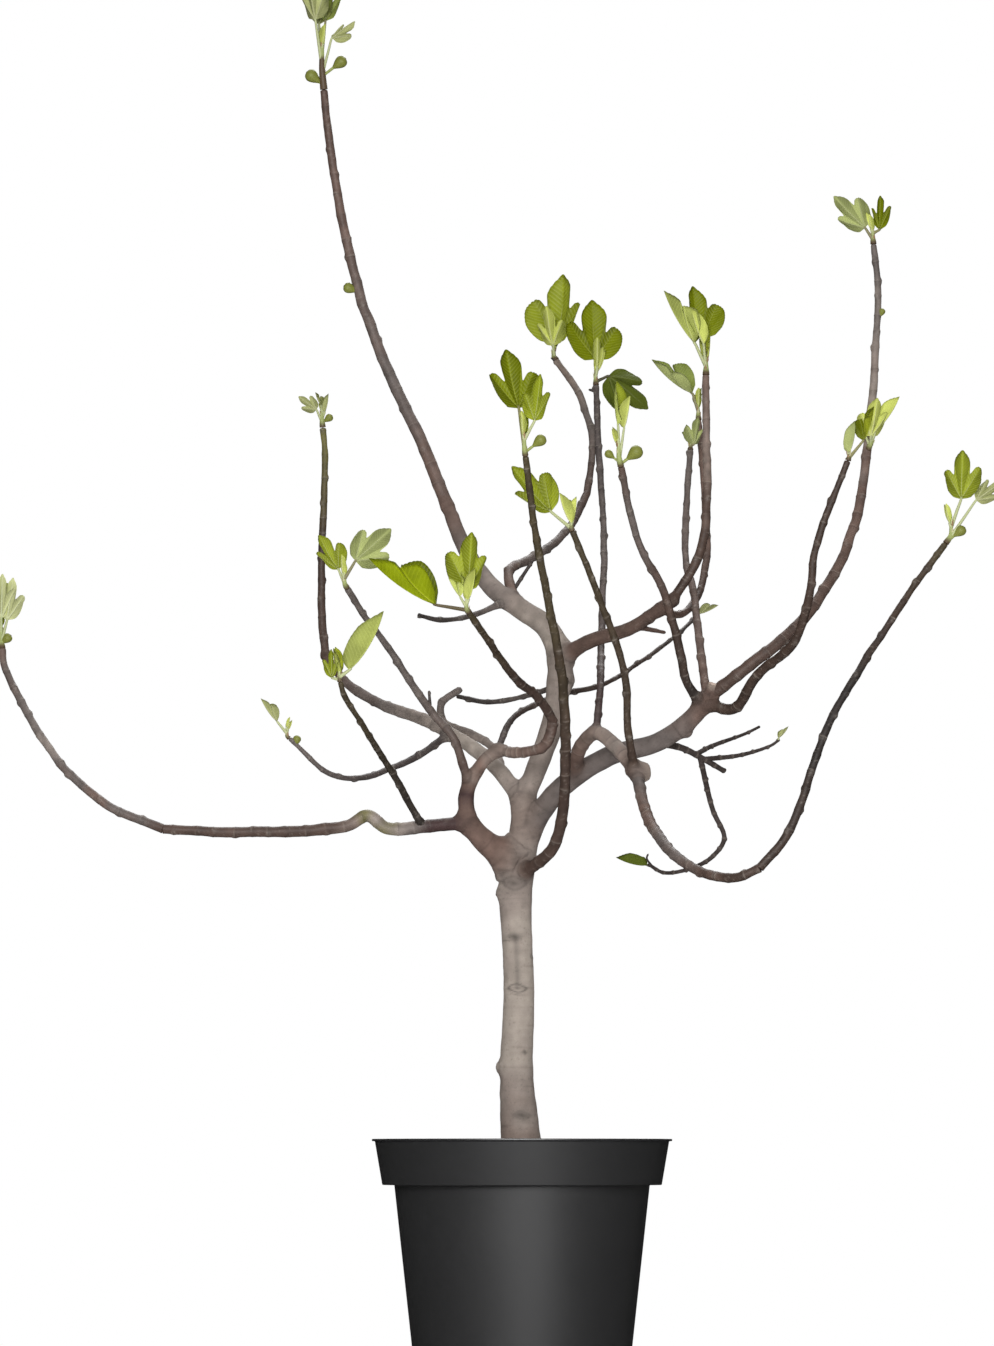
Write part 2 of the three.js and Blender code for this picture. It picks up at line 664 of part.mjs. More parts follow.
const curves = { trunk: curveFrom(vector(trunk.by[0]), trunk.by.slice(1)) };
const radii = { trunk: girthAt(trunk.girth) };
const sleeves = []; // every limb so far, thicker by the gap, to cut its neighbours clear
const bodies = []; // every finished solid of the plant
const group = new THREE.Group();

function finish(name, rough, colour) {
  const solid = rough.simplify(tidy);
  bodies.push(solid);
  group.add(toMesh(name, solid, colour));
}

function growLimb(name, step = stepLength) {
  const curve = curves[name];
  const sides = radii[name](0) > 12 ? 9 : radii[name](0) > 6.5 ? 6 : 5;
  const knobs = spurs.filter((s) => s.on === name).map((spur) => {
    const from = curve.getPointAt(spur.at);
    const reach = radii[name](spur.at) + spur.long;
    const to = from.clone().addScaledVector(heading(spur.turn, spur.lean), reach);
    const line = new THREE.LineCurve3(from, to);
    return (extra) => tube(line, taper(spur.thick), 5, extra, reach / 2);
  });
  const grown = (extra) => {
    const plain = tube(curve, radii[name], sides, extra, step);
    return knobs.reduce((joined, knob) => joined.add(knob(extra)), plain);
  };
  const solid = largestPiece(cutClear(grown(0), sleeves).trimByPlane([0, 0, 1], soilLevel + gap));
  sleeves.push(grown(gap));
  finish(name, solid, radii[name](0) > 7 ? colours.bark : colours.shoot);
}

growLimb('trunk');
for (const [name, { on, at, thick, by, step }] of Object.entries(limbs)) {
  curves[name] = curveFrom(curves[on].getPointAt(at), by);
  radii[name] = taper(thick);
  growLimb(name, step);
}

// Joins leaves and figs to a stem; one that would touch a limb or another spray is left out.
function dress(stem, pieces) {
  const clear = pieces.filter((piece) => !bodies.some((body) => meets(piece, body)));
  return clear.reduce((joined, piece) => joined.add(piece), stem);
}

Object.entries(sprays).forEach(([name, { on, at = 1, stem, leaves, figs = [] }], number) => {
  const limb = curves[on];
  const tangent = limb.getTangentAt(at);
  const radius = radii[on](at);
  const sideways = at < 1;
  const way = sideways ? heading(-60, 40) : tangent.clone().add(up).normalize();
  const foot = limb.getPointAt(at).addScaledVector(sideways ? way : tangent, sideways ? radius * 0.8 : gap);
  const tip = foot.clone().addScaledVector(way, stem);
  const middle = foot.clone().addScaledVector(sideways ? way : tangent, stem * 0.45);
  const axis = new THREE.CatmullRomCurve3([foot, middle, tip], false, 'centripetal');
  const wood = tube(axis, taper([radius * 0.9, radius * 0.6]), 5, 0, stem / 2);
  const grown = leaves.map((leaf, i) => {
    const place = mix(0.35, 0.92, leaves.length > 1 ? i / (leaves.length - 1) : 1);
    return growLeaf(axis.getPointAt(place), leaf, number * 17 + i * 5);
  });
  const pieces = grown.map((leaf) => blade(leaf).add(stalk(leaf)));
  const fruit = figs.map((f) => fig(axis.getPointAt(f[1]), f));
  finish(name, largestPiece(cutClear(dress(wood, [...pieces, ...fruit]), sleeves)), colours.leaf);
});

for (const [name, { on, at, stem, twigs, leaf }] of Object.entries(deadWood)) {
  curves[name] = curveFrom(curves[on].getPointAt(at), stem.by);
  radii[name] = taper(stem.thick);
  const parts = twigs.map((twig) => {
    const line = curveFrom(curves[name].getPointAt(twig.at), twig.by);
    const wood = tube(line, taper(twig.thick), 5, 0, 30);
    if (!twig.leaf) return wood;
    const grown = growLeaf(line.getPointAt(0.97), twig.leaf, 900);
    return wood.add(blade(grown)).add(stalk(grown));
  });
  if (leaf) {
    const grown = growLeaf(curves[name].getPointAt(0.98), leaf, 910);
    parts.push(blade(grown).add(stalk(grown)));
  }
  const wood = tube(curves[name], radii[name], 6, 0, 26);
  const solid = largestPiece(cutClear(dress(wood, parts), sleeves));
  sleeves.push(tube(curves[name], radii[name], 6, gap, 26));
  parts.forEach((part) => sleeves.push(part));
  finish(name, solid, colours.deadWood);
}

group.add(toMesh('pot', makePot(), colours.pot));
group.add(toMesh('soil', makeSoil(), colours.soil));

export default group;
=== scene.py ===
import math

import bpy
import numpy as np
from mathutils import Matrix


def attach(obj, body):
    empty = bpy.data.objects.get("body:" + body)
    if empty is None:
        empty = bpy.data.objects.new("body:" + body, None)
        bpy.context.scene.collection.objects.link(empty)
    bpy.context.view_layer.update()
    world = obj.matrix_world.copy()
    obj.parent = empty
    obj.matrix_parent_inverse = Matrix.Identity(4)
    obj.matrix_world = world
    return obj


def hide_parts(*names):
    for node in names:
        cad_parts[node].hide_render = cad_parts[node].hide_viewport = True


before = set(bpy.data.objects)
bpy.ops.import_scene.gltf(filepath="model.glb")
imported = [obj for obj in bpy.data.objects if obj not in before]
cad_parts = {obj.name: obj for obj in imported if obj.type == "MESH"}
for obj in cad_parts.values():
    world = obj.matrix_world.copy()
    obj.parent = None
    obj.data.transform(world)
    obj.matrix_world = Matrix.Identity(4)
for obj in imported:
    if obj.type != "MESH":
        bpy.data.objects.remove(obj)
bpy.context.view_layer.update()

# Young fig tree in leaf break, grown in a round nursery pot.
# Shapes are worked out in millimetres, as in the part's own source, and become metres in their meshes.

mm = 0.001
upright = np.array([0.0, 0, 1])

# camera: level with the rim, seven metres in front, tilted up a little
cameraPlace = dict(x=-0.0333, y=-7.0, z=0.316, tiltUp=5.283, lens=140.0)


def placed(name, data):  # a new object in the scene
    made = bpy.data.objects.new(name, data)
    bpy.context.scene.collection.objects.link(made)
    return made


def setCamera(place):
    data = bpy.data.cameras.new("camera")
    data.sensor_fit = "VERTICAL"
    data.sensor_height = 36.0
    data.lens = place["lens"]
    data.clip_end = 60.0
    camera = placed("camera", data)
    camera.location = (place["x"], place["y"], place["z"])
    camera.rotation_euler = (math.radians(90 + place["tiltUp"]), 0, 0)
    bpy.context.scene.camera = camera
    bpy.context.scene.view_settings.view_transform = "Standard"


# numbers and directions

def mix(a, b, t):
    return a + (b - a) * t


def ease(low, high, x):  # 0 below low, 1 above high, smooth between
    t = np.clip((x - low) / (high - low), 0, 1)
    return t * t * (3 - 2 * t)


def hump(x, width):  # bell of height 1 round zero
    return np.exp(-(x / width) ** 2)


def chance(n):  # repeatable number from 0 to 1 for each whole number, the part's own rule
    wave = np.sin(np.asarray(n, float) * 12.9898) * 43758.5453
    return wave - np.floor(wave)


def unit(v):
    return v / np.linalg.norm(v, axis=-1, keepdims=True)


def heading(turn, lean):  # unit vector from its compass turn and its lean from upright, in degrees
    t, l = np.radians(turn), np.radians(lean)
    return np.stack([np.sin(l) * np.cos(t), np.sin(l) * np.sin(t), np.cos(l) + 0 * t], -1)


def ringAngles(sides):  # the angles of the corners of a tube
    return np.linspace(0, 2 * math.pi, sides, endpoint=False)


def together(*parts):  # numbers and arrays side by side, as points
    return np.stack(np.broadcast_arrays(*parts), -1)


def turned(v, axis, angle):  # v turned about a unit axis
    c, s = np.cos(angle), np.sin(angle)
    return v * c + np.cross(axis, v) * s + axis * np.dot(axis, v) * (1 - c)


def linear(hexColour):  # "8d8178" to the colour values that a shader takes
    c = np.array([int(hexColour[i:i + 2], 16) for i in (0, 2, 4)]) / 255
    return np.where(c <= 0.04045, c / 12.92, ((c + 0.055) / 1.055) ** 2.4)


def noise(points, size, seed=0):
    # value noise from -1 to 1: each corner of the cell round a point has its own seeded number,
    # and the eight are blended by how near they are
    p = np.asarray(points, float) / size + seed * 7.31
    cell = np.floor(p)
    near = (p - cell) ** 2 * (3 - 2 * (p - cell))
    total = 0
    for corner in np.ndindex(2, 2, 2):
        value = np.sin((cell + corner) @ np.array([12.71, 31.17, 7.47])) * 4375.85453
        weight = np.prod(np.where(corner, near, 1 - near), -1)
        total = total + (value - np.floor(value)) * weight
    return total * 2 - 1


# meshes: a shape is a dictionary of points, quads and triangles, with values for its points and faces

def shape(points, quads=(), triangles=(), **more):
    made = dict(points=np.asarray(points, float).reshape(-1, 3))
    made["quads"] = np.asarray(quads, int).reshape(-1, 4)
    made["triangles"] = np.asarray(triangles, int).reshape(-1, 3)
    made["tint"] = np.ones((len(made["points"]), 3))
    made["place"] = np.zeros((len(made["points"]), 3))
    made["finish"] = np.zeros(len(made["quads"]) + len(made["triangles"]), int)
    made.update(more)
    return made


def joined(shapes):
    offsets = np.cumsum([0] + [len(s["points"]) for s in shapes])
    quads = np.concatenate([s["quads"] + o for s, o in zip(shapes, offsets)])
    triangles = np.concatenate([s["triangles"] + o for s, o in zip(shapes, offsets)])
    finish = np.concatenate([s["finish"][:len(s["quads"])] for s in shapes]
                            + [s["finish"][len(s["quads"]):] for s in shapes])
    columns = {key: np.concatenate([s[key] for s in shapes]) for key in ("points", "tint", "place")}
    return dict(columns, quads=quads, triangles=triangles, finish=finish)


def gridFaces(rows, columns, closed):  # quads between the rows of a grid, and round it where it closes
    i = np.arange(rows - 1)[:, None] * columns
    k = np.arange(columns if closed else columns - 1)[None]
    beyond = (k + 1) % columns
    return np.stack([i + k, i + beyond, i + beyond + columns, i + k + columns], -1).reshape(-1, 4)


def outward(made):  # turns the faces round if the closed shape has them inside out
    p = made["points"] - made["points"].mean(0)
    halves = [made["quads"][:, [0, 1, 2]], made["quads"][:, [0, 2, 3]], made["triangles"]]
    a, b, c = p[np.concatenate(halves)].transpose(1, 0, 2)
    if np.einsum("ij,ij->", a, np.cross(b, c)) < 0:
        made["quads"] = made["quads"][:, ::-1]
        made["triangles"] = made["triangles"][:, ::-1]
    return made


def meshOf(name, made):
    mesh = bpy.data.meshes.new(name)
    corners = np.concatenate([made["quads"].ravel(), made["triangles"].ravel()]).astype(np.int32)
    counts = np.repeat([4, 3], [len(made["quads"]), len(made["triangles"])])
    starts = np.concatenate([[0], np.cumsum(counts)[:-1]]).astype(np.int32)
    mesh.vertices.add(len(made["points"]))
    mesh.vertices.foreach_set("co", (made["points"] * mm).astype(np.float32).ravel())
    mesh.loops.add(len(corners))
    mesh.loops.foreach_set("vertex_index", corners)
    mesh.polygons.add(len(starts))
    mesh.polygons.foreach_set("loop_start", starts)
    mesh.polygons.foreach_set("material_index", made["finish"].astype(np.int32))
    mesh.polygons.foreach_set("use_smooth", np.ones(len(starts), bool))
    tint = mesh.attributes.new("tint", "FLOAT_COLOR", "POINT")
    tint.data.foreach_set("color", np.c_[made["tint"], np.ones(len(made["tint"]))].astype(np.float32).ravel())
    place = mesh.attributes.new("place", "FLOAT_VECTOR", "POINT")
    place.data.foreach_set("vector", made["place"].astype(np.float32).ravel())
    mesh.update(calc_edges=True)
    return mesh


def addPiece(name, made, materials, nodes):
    piece = placed(name, meshOf(name, made))
    for material in materials:
        piece.data.materials.append(material)
    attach(piece, "root")
    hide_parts(*nodes)
    triangles = 2 * len(made["quads"]) + len(made["triangles"])
    print(f"piece {name}: {triangles} triangles")


# curves and tubes

def curveThrough(points, steps=60):
    # centripetal Catmull-Rom curve: between two points a cubic whose end slopes come from the neighbours,
    # each weighed by the square root of its distance
    p = np.array(points, float)
    p = np.vstack([2 * p[0] - p[1], p, 2 * p[-1] - p[-2]])
    gaps = np.maximum(np.sqrt(np.linalg.norm(np.diff(p, axis=0), axis=1)), 1e-4)
    t = np.linspace(0, 1, steps, endpoint=False)[:, None]
    stretches = []
    for i in range(1, len(p) - 2):
        a, b, c, d = p[i - 1:i + 3]
        before, here, after = gaps[i - 1:i + 2]
        slopeB = ((b - a) / before - (c - a) / (before + here) + (c - b) / here) * here
        slopeC = ((c - b) / here - (d - b) / (here + after) + (d - c) / after) * here
        stretches.append(b + slopeB * t + (3 * (c - b) - 2 * slopeB - slopeC) * t ** 2
                         + (2 * (b - c) + slopeB + slopeC) * t ** 3)
    line = np.vstack(stretches + [p[-2:-1]])
    run = np.concatenate([[0], np.cumsum(np.linalg.norm(np.diff(line, axis=0), axis=1))])
    return dict(line=line, run=run, long=run[-1])


def pointAt(curve, t):  # the point at a fraction of the curve's length
    along = np.asarray(t, float) * curve["long"]
    return np.stack([np.interp(along, curve["run"], curve["line"][:, k]) for k in range(3)], -1)


def wayAt(curve, t):
    return unit(pointAt(curve, min(t + 0.005, 1)) - pointAt(curve, max(t - 0.005, 0)))


def carrier(curve, step):
    # the path of a tube: centres every step, and two directions square to the path; they come from the
    # one direction in which the path runs least, so they never twist
    count = max(3, int(math.ceil(curve["long"] / step)) + 1)
    t = np.linspace(0, 1, count)
    centre = pointAt(curve, t)
    forward = unit(np.gradient(centre, axis=0))
    least = np.linalg.svd(forward)[2][2]
    least = least * np.sign(least[np.abs(least).argmax()])
    first = unit(np.cross(forward, least))
    second = np.cross(forward, first)
    return dict(t=t, run=t * curve["long"], centre=centre, forward=forward, first=first, second=second)


def ringsOf(path, radius, angle):  # the points that stand a radius off a path, at each angle round it
    c, s = np.cos(angle)[..., None], np.sin(angle)[..., None]
    spokes = c * path["first"][:, None] + s * path["second"][:, None]
    return path["centre"][:, None] + spokes * radius[..., None]


def tubeOn(path, radius, sides):
    # profile carried along a path: a circle whose radius is a function of the run and of the angle,
    # closed by one point at each end
    rings = ringsOf(path, radius, ringAngles(sides))
    rows = len(path["centre"])
    k = np.arange(sides)
    beyond = (k + 1) % sides
    last, start, end = (rows - 1) * sides, rows * sides, rows * sides + 1
    caps = np.concatenate([together(start, beyond, k), together(end, last + k, last + beyond)])
    points = np.vstack([rings.reshape(-1, 3), path["centre"][:1], path["centre"][-1:]])
    return points, gridFaces(rows, sides, True), caps


def roundedEnd(left, size, least=0.0):  # 1, falling to `least` on a quarter circle over the last stretch
    return np.sqrt(np.clip(1 - (1 - left / size).clip(0, 1) ** 2, least, 1))


def plainTube(curve, thick, sides, step, roundEnd=True):
    path = carrier(curve, step)
    radius = mix(thick[0], thick[1], path["t"])
    if roundEnd:
        radius = radius * roundedEnd(curve["long"] - path["run"], thick[1], 0.02)
    return outward(shape(*tubeOn(path, radius[:, None], sides)))


# the part's own measures: trunk, limbs, spurs, sprays and dead wood

def table(keys, rows):  # each row as a dictionary
    return [dict(zip(keys.split(), row)) for row in rows]


soilLevel = 312

trunk = dict(
    by=[(1, 0, 304), (-7, 2, 425), (-4, 4, 541), (-8, 8, 683), (3, 8, 750), (2, 10, 789)],
    girth=[30, 25.5, 22.6, 21.2, 20.5, 20.2, 20.4, 23, 20.5, 16],
    bark="fawn stone ash ash ash stone stone fawn",
)

# bark tones, from the grey of the trunk to the green of this year's shoots
barkTones = dict(
    ash="a59a90", stone="93877f", fawn="84746b", rose="705b52", umber="58463e", plum="463433",
    slate="6a615d", smoke="4f4745", earth="46372f", olive="4b412d", moss="6f6a3a", coal="332d2a",
)

# a limb leaves its parent `on` at a fraction `at` of its length, passes `by` its way-points and tapers
# as `thick` says; its bark runs through the tones in `bark`, and `gap` is the space between its leaf
# scars where it isn't the usual one
limbs = {limb["name"]: limb for limb in table("name on at thick bark by gap", [
    ("left_bough", "trunk", 0.82, (21, 12.5), "fawn rose rose", [(-51, -10, 738), (-73, -15, 761)]),
    ("left_arm", "left_bough", 1, (9, 6.1), "plum plum slate stone moss fawn" + 8 * " umber",
     [(-131, -32, 755), (-180, -40, 752), (-206, -40, 768), (-234, -42, 755), (-376, -48, 746),
      (-478, -40, 751)]),
    ("left_arm_rise", "left_arm", 1, (6.1, 4.6), "umber slate rose slate stone slate slate rose",
     [(-553, -25, 784), (-619, 0, 842), (-699, 52, 975), (-704, 62, 1002)]),
    ("left_whip", "left_arm", 0.15, (4.8, 3.6), "coal olive",
     [(-173, -96, 823), (-205, -176, 872), (-232, -225, 914), (-237, -232, 931)]),
    ("left_riser", "left_bough", 1, (11.5, 7.5), "rose rose plum rose fawn rose fawn fawn",
     [(-73, -24, 803), (-51, -30, 842), (-33, -32, 857)]),
    ("hook_shoot", "left_riser", 1, (6.8, 6.8), "fawn rose umber",
     [(1, -60, 852), (30, -74, 860), (42, -80, 891)], (6, 12)),
    ("hook_shoot_rise", "hook_shoot", 1, (6.2, 4.1), "umber earth olive",
     [(26, -112, 914), (-10, -190, 940), (-70, -325, 1012)]),
    ("back_whip", "left_riser", 1, (4.3, 2.7), "smoke earth smoke",
     [(-11, 10, 904), (64, 100, 946), (107, 125, 957), (210, 220, 1032), (243, 265, 1065)]),
    ("upper_left_bough", "trunk", 1, (11, 5.9), "stone ash stone slate umber",
     [(-37, 40, 842), (-121, 135, 906), (-194, 215, 940), (-242, 262, 973), (-273, 290, 1014)]),
    ("upper_left_rise", "upper_left_bough", 1, (5.8, 4.2), "umber earth moss",
     [(-280, 302, 1087), (-275, 290, 1305), (-278, 286, 1336)]),
    ("cut_stub", "upper_left_bough", 0.11, (6.3, 4.6), "stone slate",
     [(-39, 84, 869), (-70, 112, 891), (-107, 138, 910), (-109, 146, 935), (-85, 152, 954)]),
    ("slant_shoot", "left_riser", 0.46, (6, 3.9), "umber slate slate",
     [(-92, -58, 871), (-119, -52, 904), (-184, -130, 995), (-210, -178, 1027), (-229, -215, 1055)]),
    ("droop_shoot", "upper_left_bough", 0.38, (5.2, 2.9), "smoke smoke slate",
     [(-141, 84, 858), (-220, 20, 823), (-258, -6, 828), (-311, -30, 873)]),
    ("centre_bough", "trunk", 1, (12.8, 16.5), "stone stone", [(44, 34, 907), (50, 40, 959), (54, 42, 992)]),
    ("leader", "centre_bough", 1, (16, 9), "ash stone slate rose",
     [(32, 48, 1032), (1, 54, 1054), (-40, 72, 1087), (-74, 104, 1138), (-101, 128, 1204)]),
    ("leader_rise", "leader", 1, (9, 5.2), "rose slate rose umber",
     [(-134, 144, 1288), (-184, 166, 1399), (-221, 178, 1499), (-250, 184, 1619), (-270, 176, 1752),
      (-274, 172, 1794)]),
    ("right_upper_bough", "centre_bough", 0.98, (10.5, 8), "rose umber umber",
     [(93, 4, 1007), (144, -18, 1021), (177, -30, 1041), (202, -32, 1058)]),
    ("right_inner_shoot", "right_upper_bough", 1, (6.4, 4.7), "earth umber fawn rose",
     [(240, -32, 1128), (250, 30, 1372)]),
    ("right_back_shoot", "right_upper_bough", 0.88, (5.4, 4.2), "rose umber rose rose",
     [(215, 30, 1046), (242, 92, 1081), (255, 146, 1146), (253, 190, 1249), (247, 212, 1336)]),
    ("hook_riser", "leader", 0.33, (7.2, 5), "rose slate umber",
     [(-17, 92, 1109), (23, 160, 1142), (65, 226, 1184), (93, 276, 1242)]),
    ("hook_riser_top", "hook_riser", 1, (5, 4.6), "umber slate fawn",
     [(101, 320, 1321), (84, 350, 1390), (51, 376, 1445)]),
    ("right_bough", "trunk", 0.89, (14.5, 11.6), "fawn slate slate slate rose",
     [(46, -14, 801), (115, -36, 848), (180, -46, 866), (222, -54, 894), (246, -62, 923)]),
    ("arch", "right_bough", 0.34, (8.8, 9.6), "umber rose fawn stone rose",
     [(80, -72, 862), (99, -92, 875), (139, -130, 836), (151, -144, 815)], (8, 14)),
    ("centre_whip", "arch", 0.5, (5, 4.2), "plum slate smoke",
     [(104, -40, 937), (108, 60, 1014), (114, 144, 1160), (109, 196, 1264), (105, 246, 1390)]),
    ("right_long_shoot", "right_bough", 1, (8.4, 4.2), "umber umber rose stone slate",
     [(298, -84, 963), (358, -74, 1012), (407, -40, 1074), (445, -10, 1157), (465, 18, 1250), (486, 60, 1493),
      (481, 66, 1558)]),
    ("right_front_shoot", "right_bough", 0.98, (7.4, 4), "earth earth",
     [(280, -82, 908), (308, -130, 947), (356, -196, 988), (372, -224, 1038), (382, -240, 1108),
      (423, -248, 1218)]),
    ("right_left_shoot", "right_bough", 0.97, (6.1, 4.3), "coal earth umber slate umber",
     [(219, -84, 942), (210, -104, 978), (188, -134, 1054), (149, -184, 1127), (128, -236, 1212)]),
    ("right_back_riser", "right_bough", 1, (5.6, 4.1), "rose slate",
     [(238, -10, 1004), (232, 48, 1081), (224, 84, 1126), (226, 120, 1199), (233, 150, 1286)]),
    ("loop", "arch", 1, (7.6, 5.8), "slate rose slate umber earth",
     [(162, -200, 759), (192, -286, 705), (228, -337, 677), (272, -374, 669), (299, -383, 680)], (12, 24)),
    ("loop_rise", "loop", 1, (5.8, 4.1), "earth coal coal earth olive",
     [(335, -380, 724), (391, -352, 868), (494, -302, 1034), (546, -287, 1105)]),
    ("knob_shoot", "arch", 0.96, (5.3, 3.9), "earth olive",
     [(138, -176, 873), (132, -204, 947), (84, -264, 1075), (64, -282, 1122)]),
    ("front_shoot", "trunk", 0.8, (8.4, 3.9), "umber earth olive olive",
     [(19, -34, 705), (40, -62, 724), (53, -100, 768), (53, -196, 923), (17, -310, 1110), (3, -361, 1209)]),
    ("dead_twig_left", "centre_bough", 0.8, (4, 2.9), "slate coal",
     [(12, 84, 941), (-43, 112, 933), (-89, 134, 944)]),
    ("dead_twig_leader", "leader", 0.38, (4.6, 2.7), "slate coal",
     [(-61, 30, 1046), (-105, -4, 1034), (-140, -24, 1039)])])}

# knobs, pruning stubs, side buds and small figs on a limb; `end` says what each one is
spurs = table("on at turn lean long thick end", [
    ("droop_shoot", 0.96, 20, 20, 9, (2, 5.5), "fruit"),
    ("arch", 0.97, 20, 85, 8, (11, 10), "cut"),
    ("right_bough", 0.86, 0, 160, 5, (7, 5), "knob"),
    ("right_bough", 0.985, -50, 34, 17, (7, 5.5), "cut"),
    ("slant_shoot", 0.33, 180, 4, 22, (2.6, 1.5), "twig"),
    ("cut_stub", 0.76, 180, 10, 14, (3.5, 1.6), "twig"),
    ("right_upper_bough", 0.66, 10, 100, 36, (4, 2.2), "twig"),
    ("centre_whip", 0.985, 180, 80, 7, (3.2, 1.4), "twig"),
    ("hook_riser_top", 0.98, 180, 55, 8, (2.6, 0.9), "twig"),
    ("right_long_shoot", 0.85, 0, 24, 16, (3.4, 4.6), "bud"),
    ("leader_rise", 0.535, 180, 66, 17, (2.6, 7.4), "fruit"),
    ("trunk", 0.27, 180, 90, 4, (11, 5), "knob"),
    ("trunk", 0.75, 190, 90, 3, (9, 5), "knob"),
    ("centre_bough", 0.84, 0, 95, 3, (12, 7), "knob"),
    ("hook_riser", 0.08, 20, 34, 46, (3, 2.2), "twig")])

# leaf tones as upper face, under face and rib; each leaf of a spray names its own
leafTones = dict(
    olive=("747e00", "98a224", "adb450"),
    ripe=("6c7800", "8a9804", "a8b030"),
    fresh=("8e9822", "a9b25c", "c0c680"),
    lime=("aab42c", "b8c060", "ccd08c"),
    pale=("a8ae70", "bcc08a", "ccd0a6"),
    downy=("8f9452", "9ca06a", "b4b688"),
    dusty=("828e42", "98a064", "aab07c"),
    dark=("434e08", "4a5416", "656e36"),
)

stalkTones = dict(olive="938f62", ripe="5e5236", dusty="8b8662", dark="4e4a34")  # any other is a creamy green

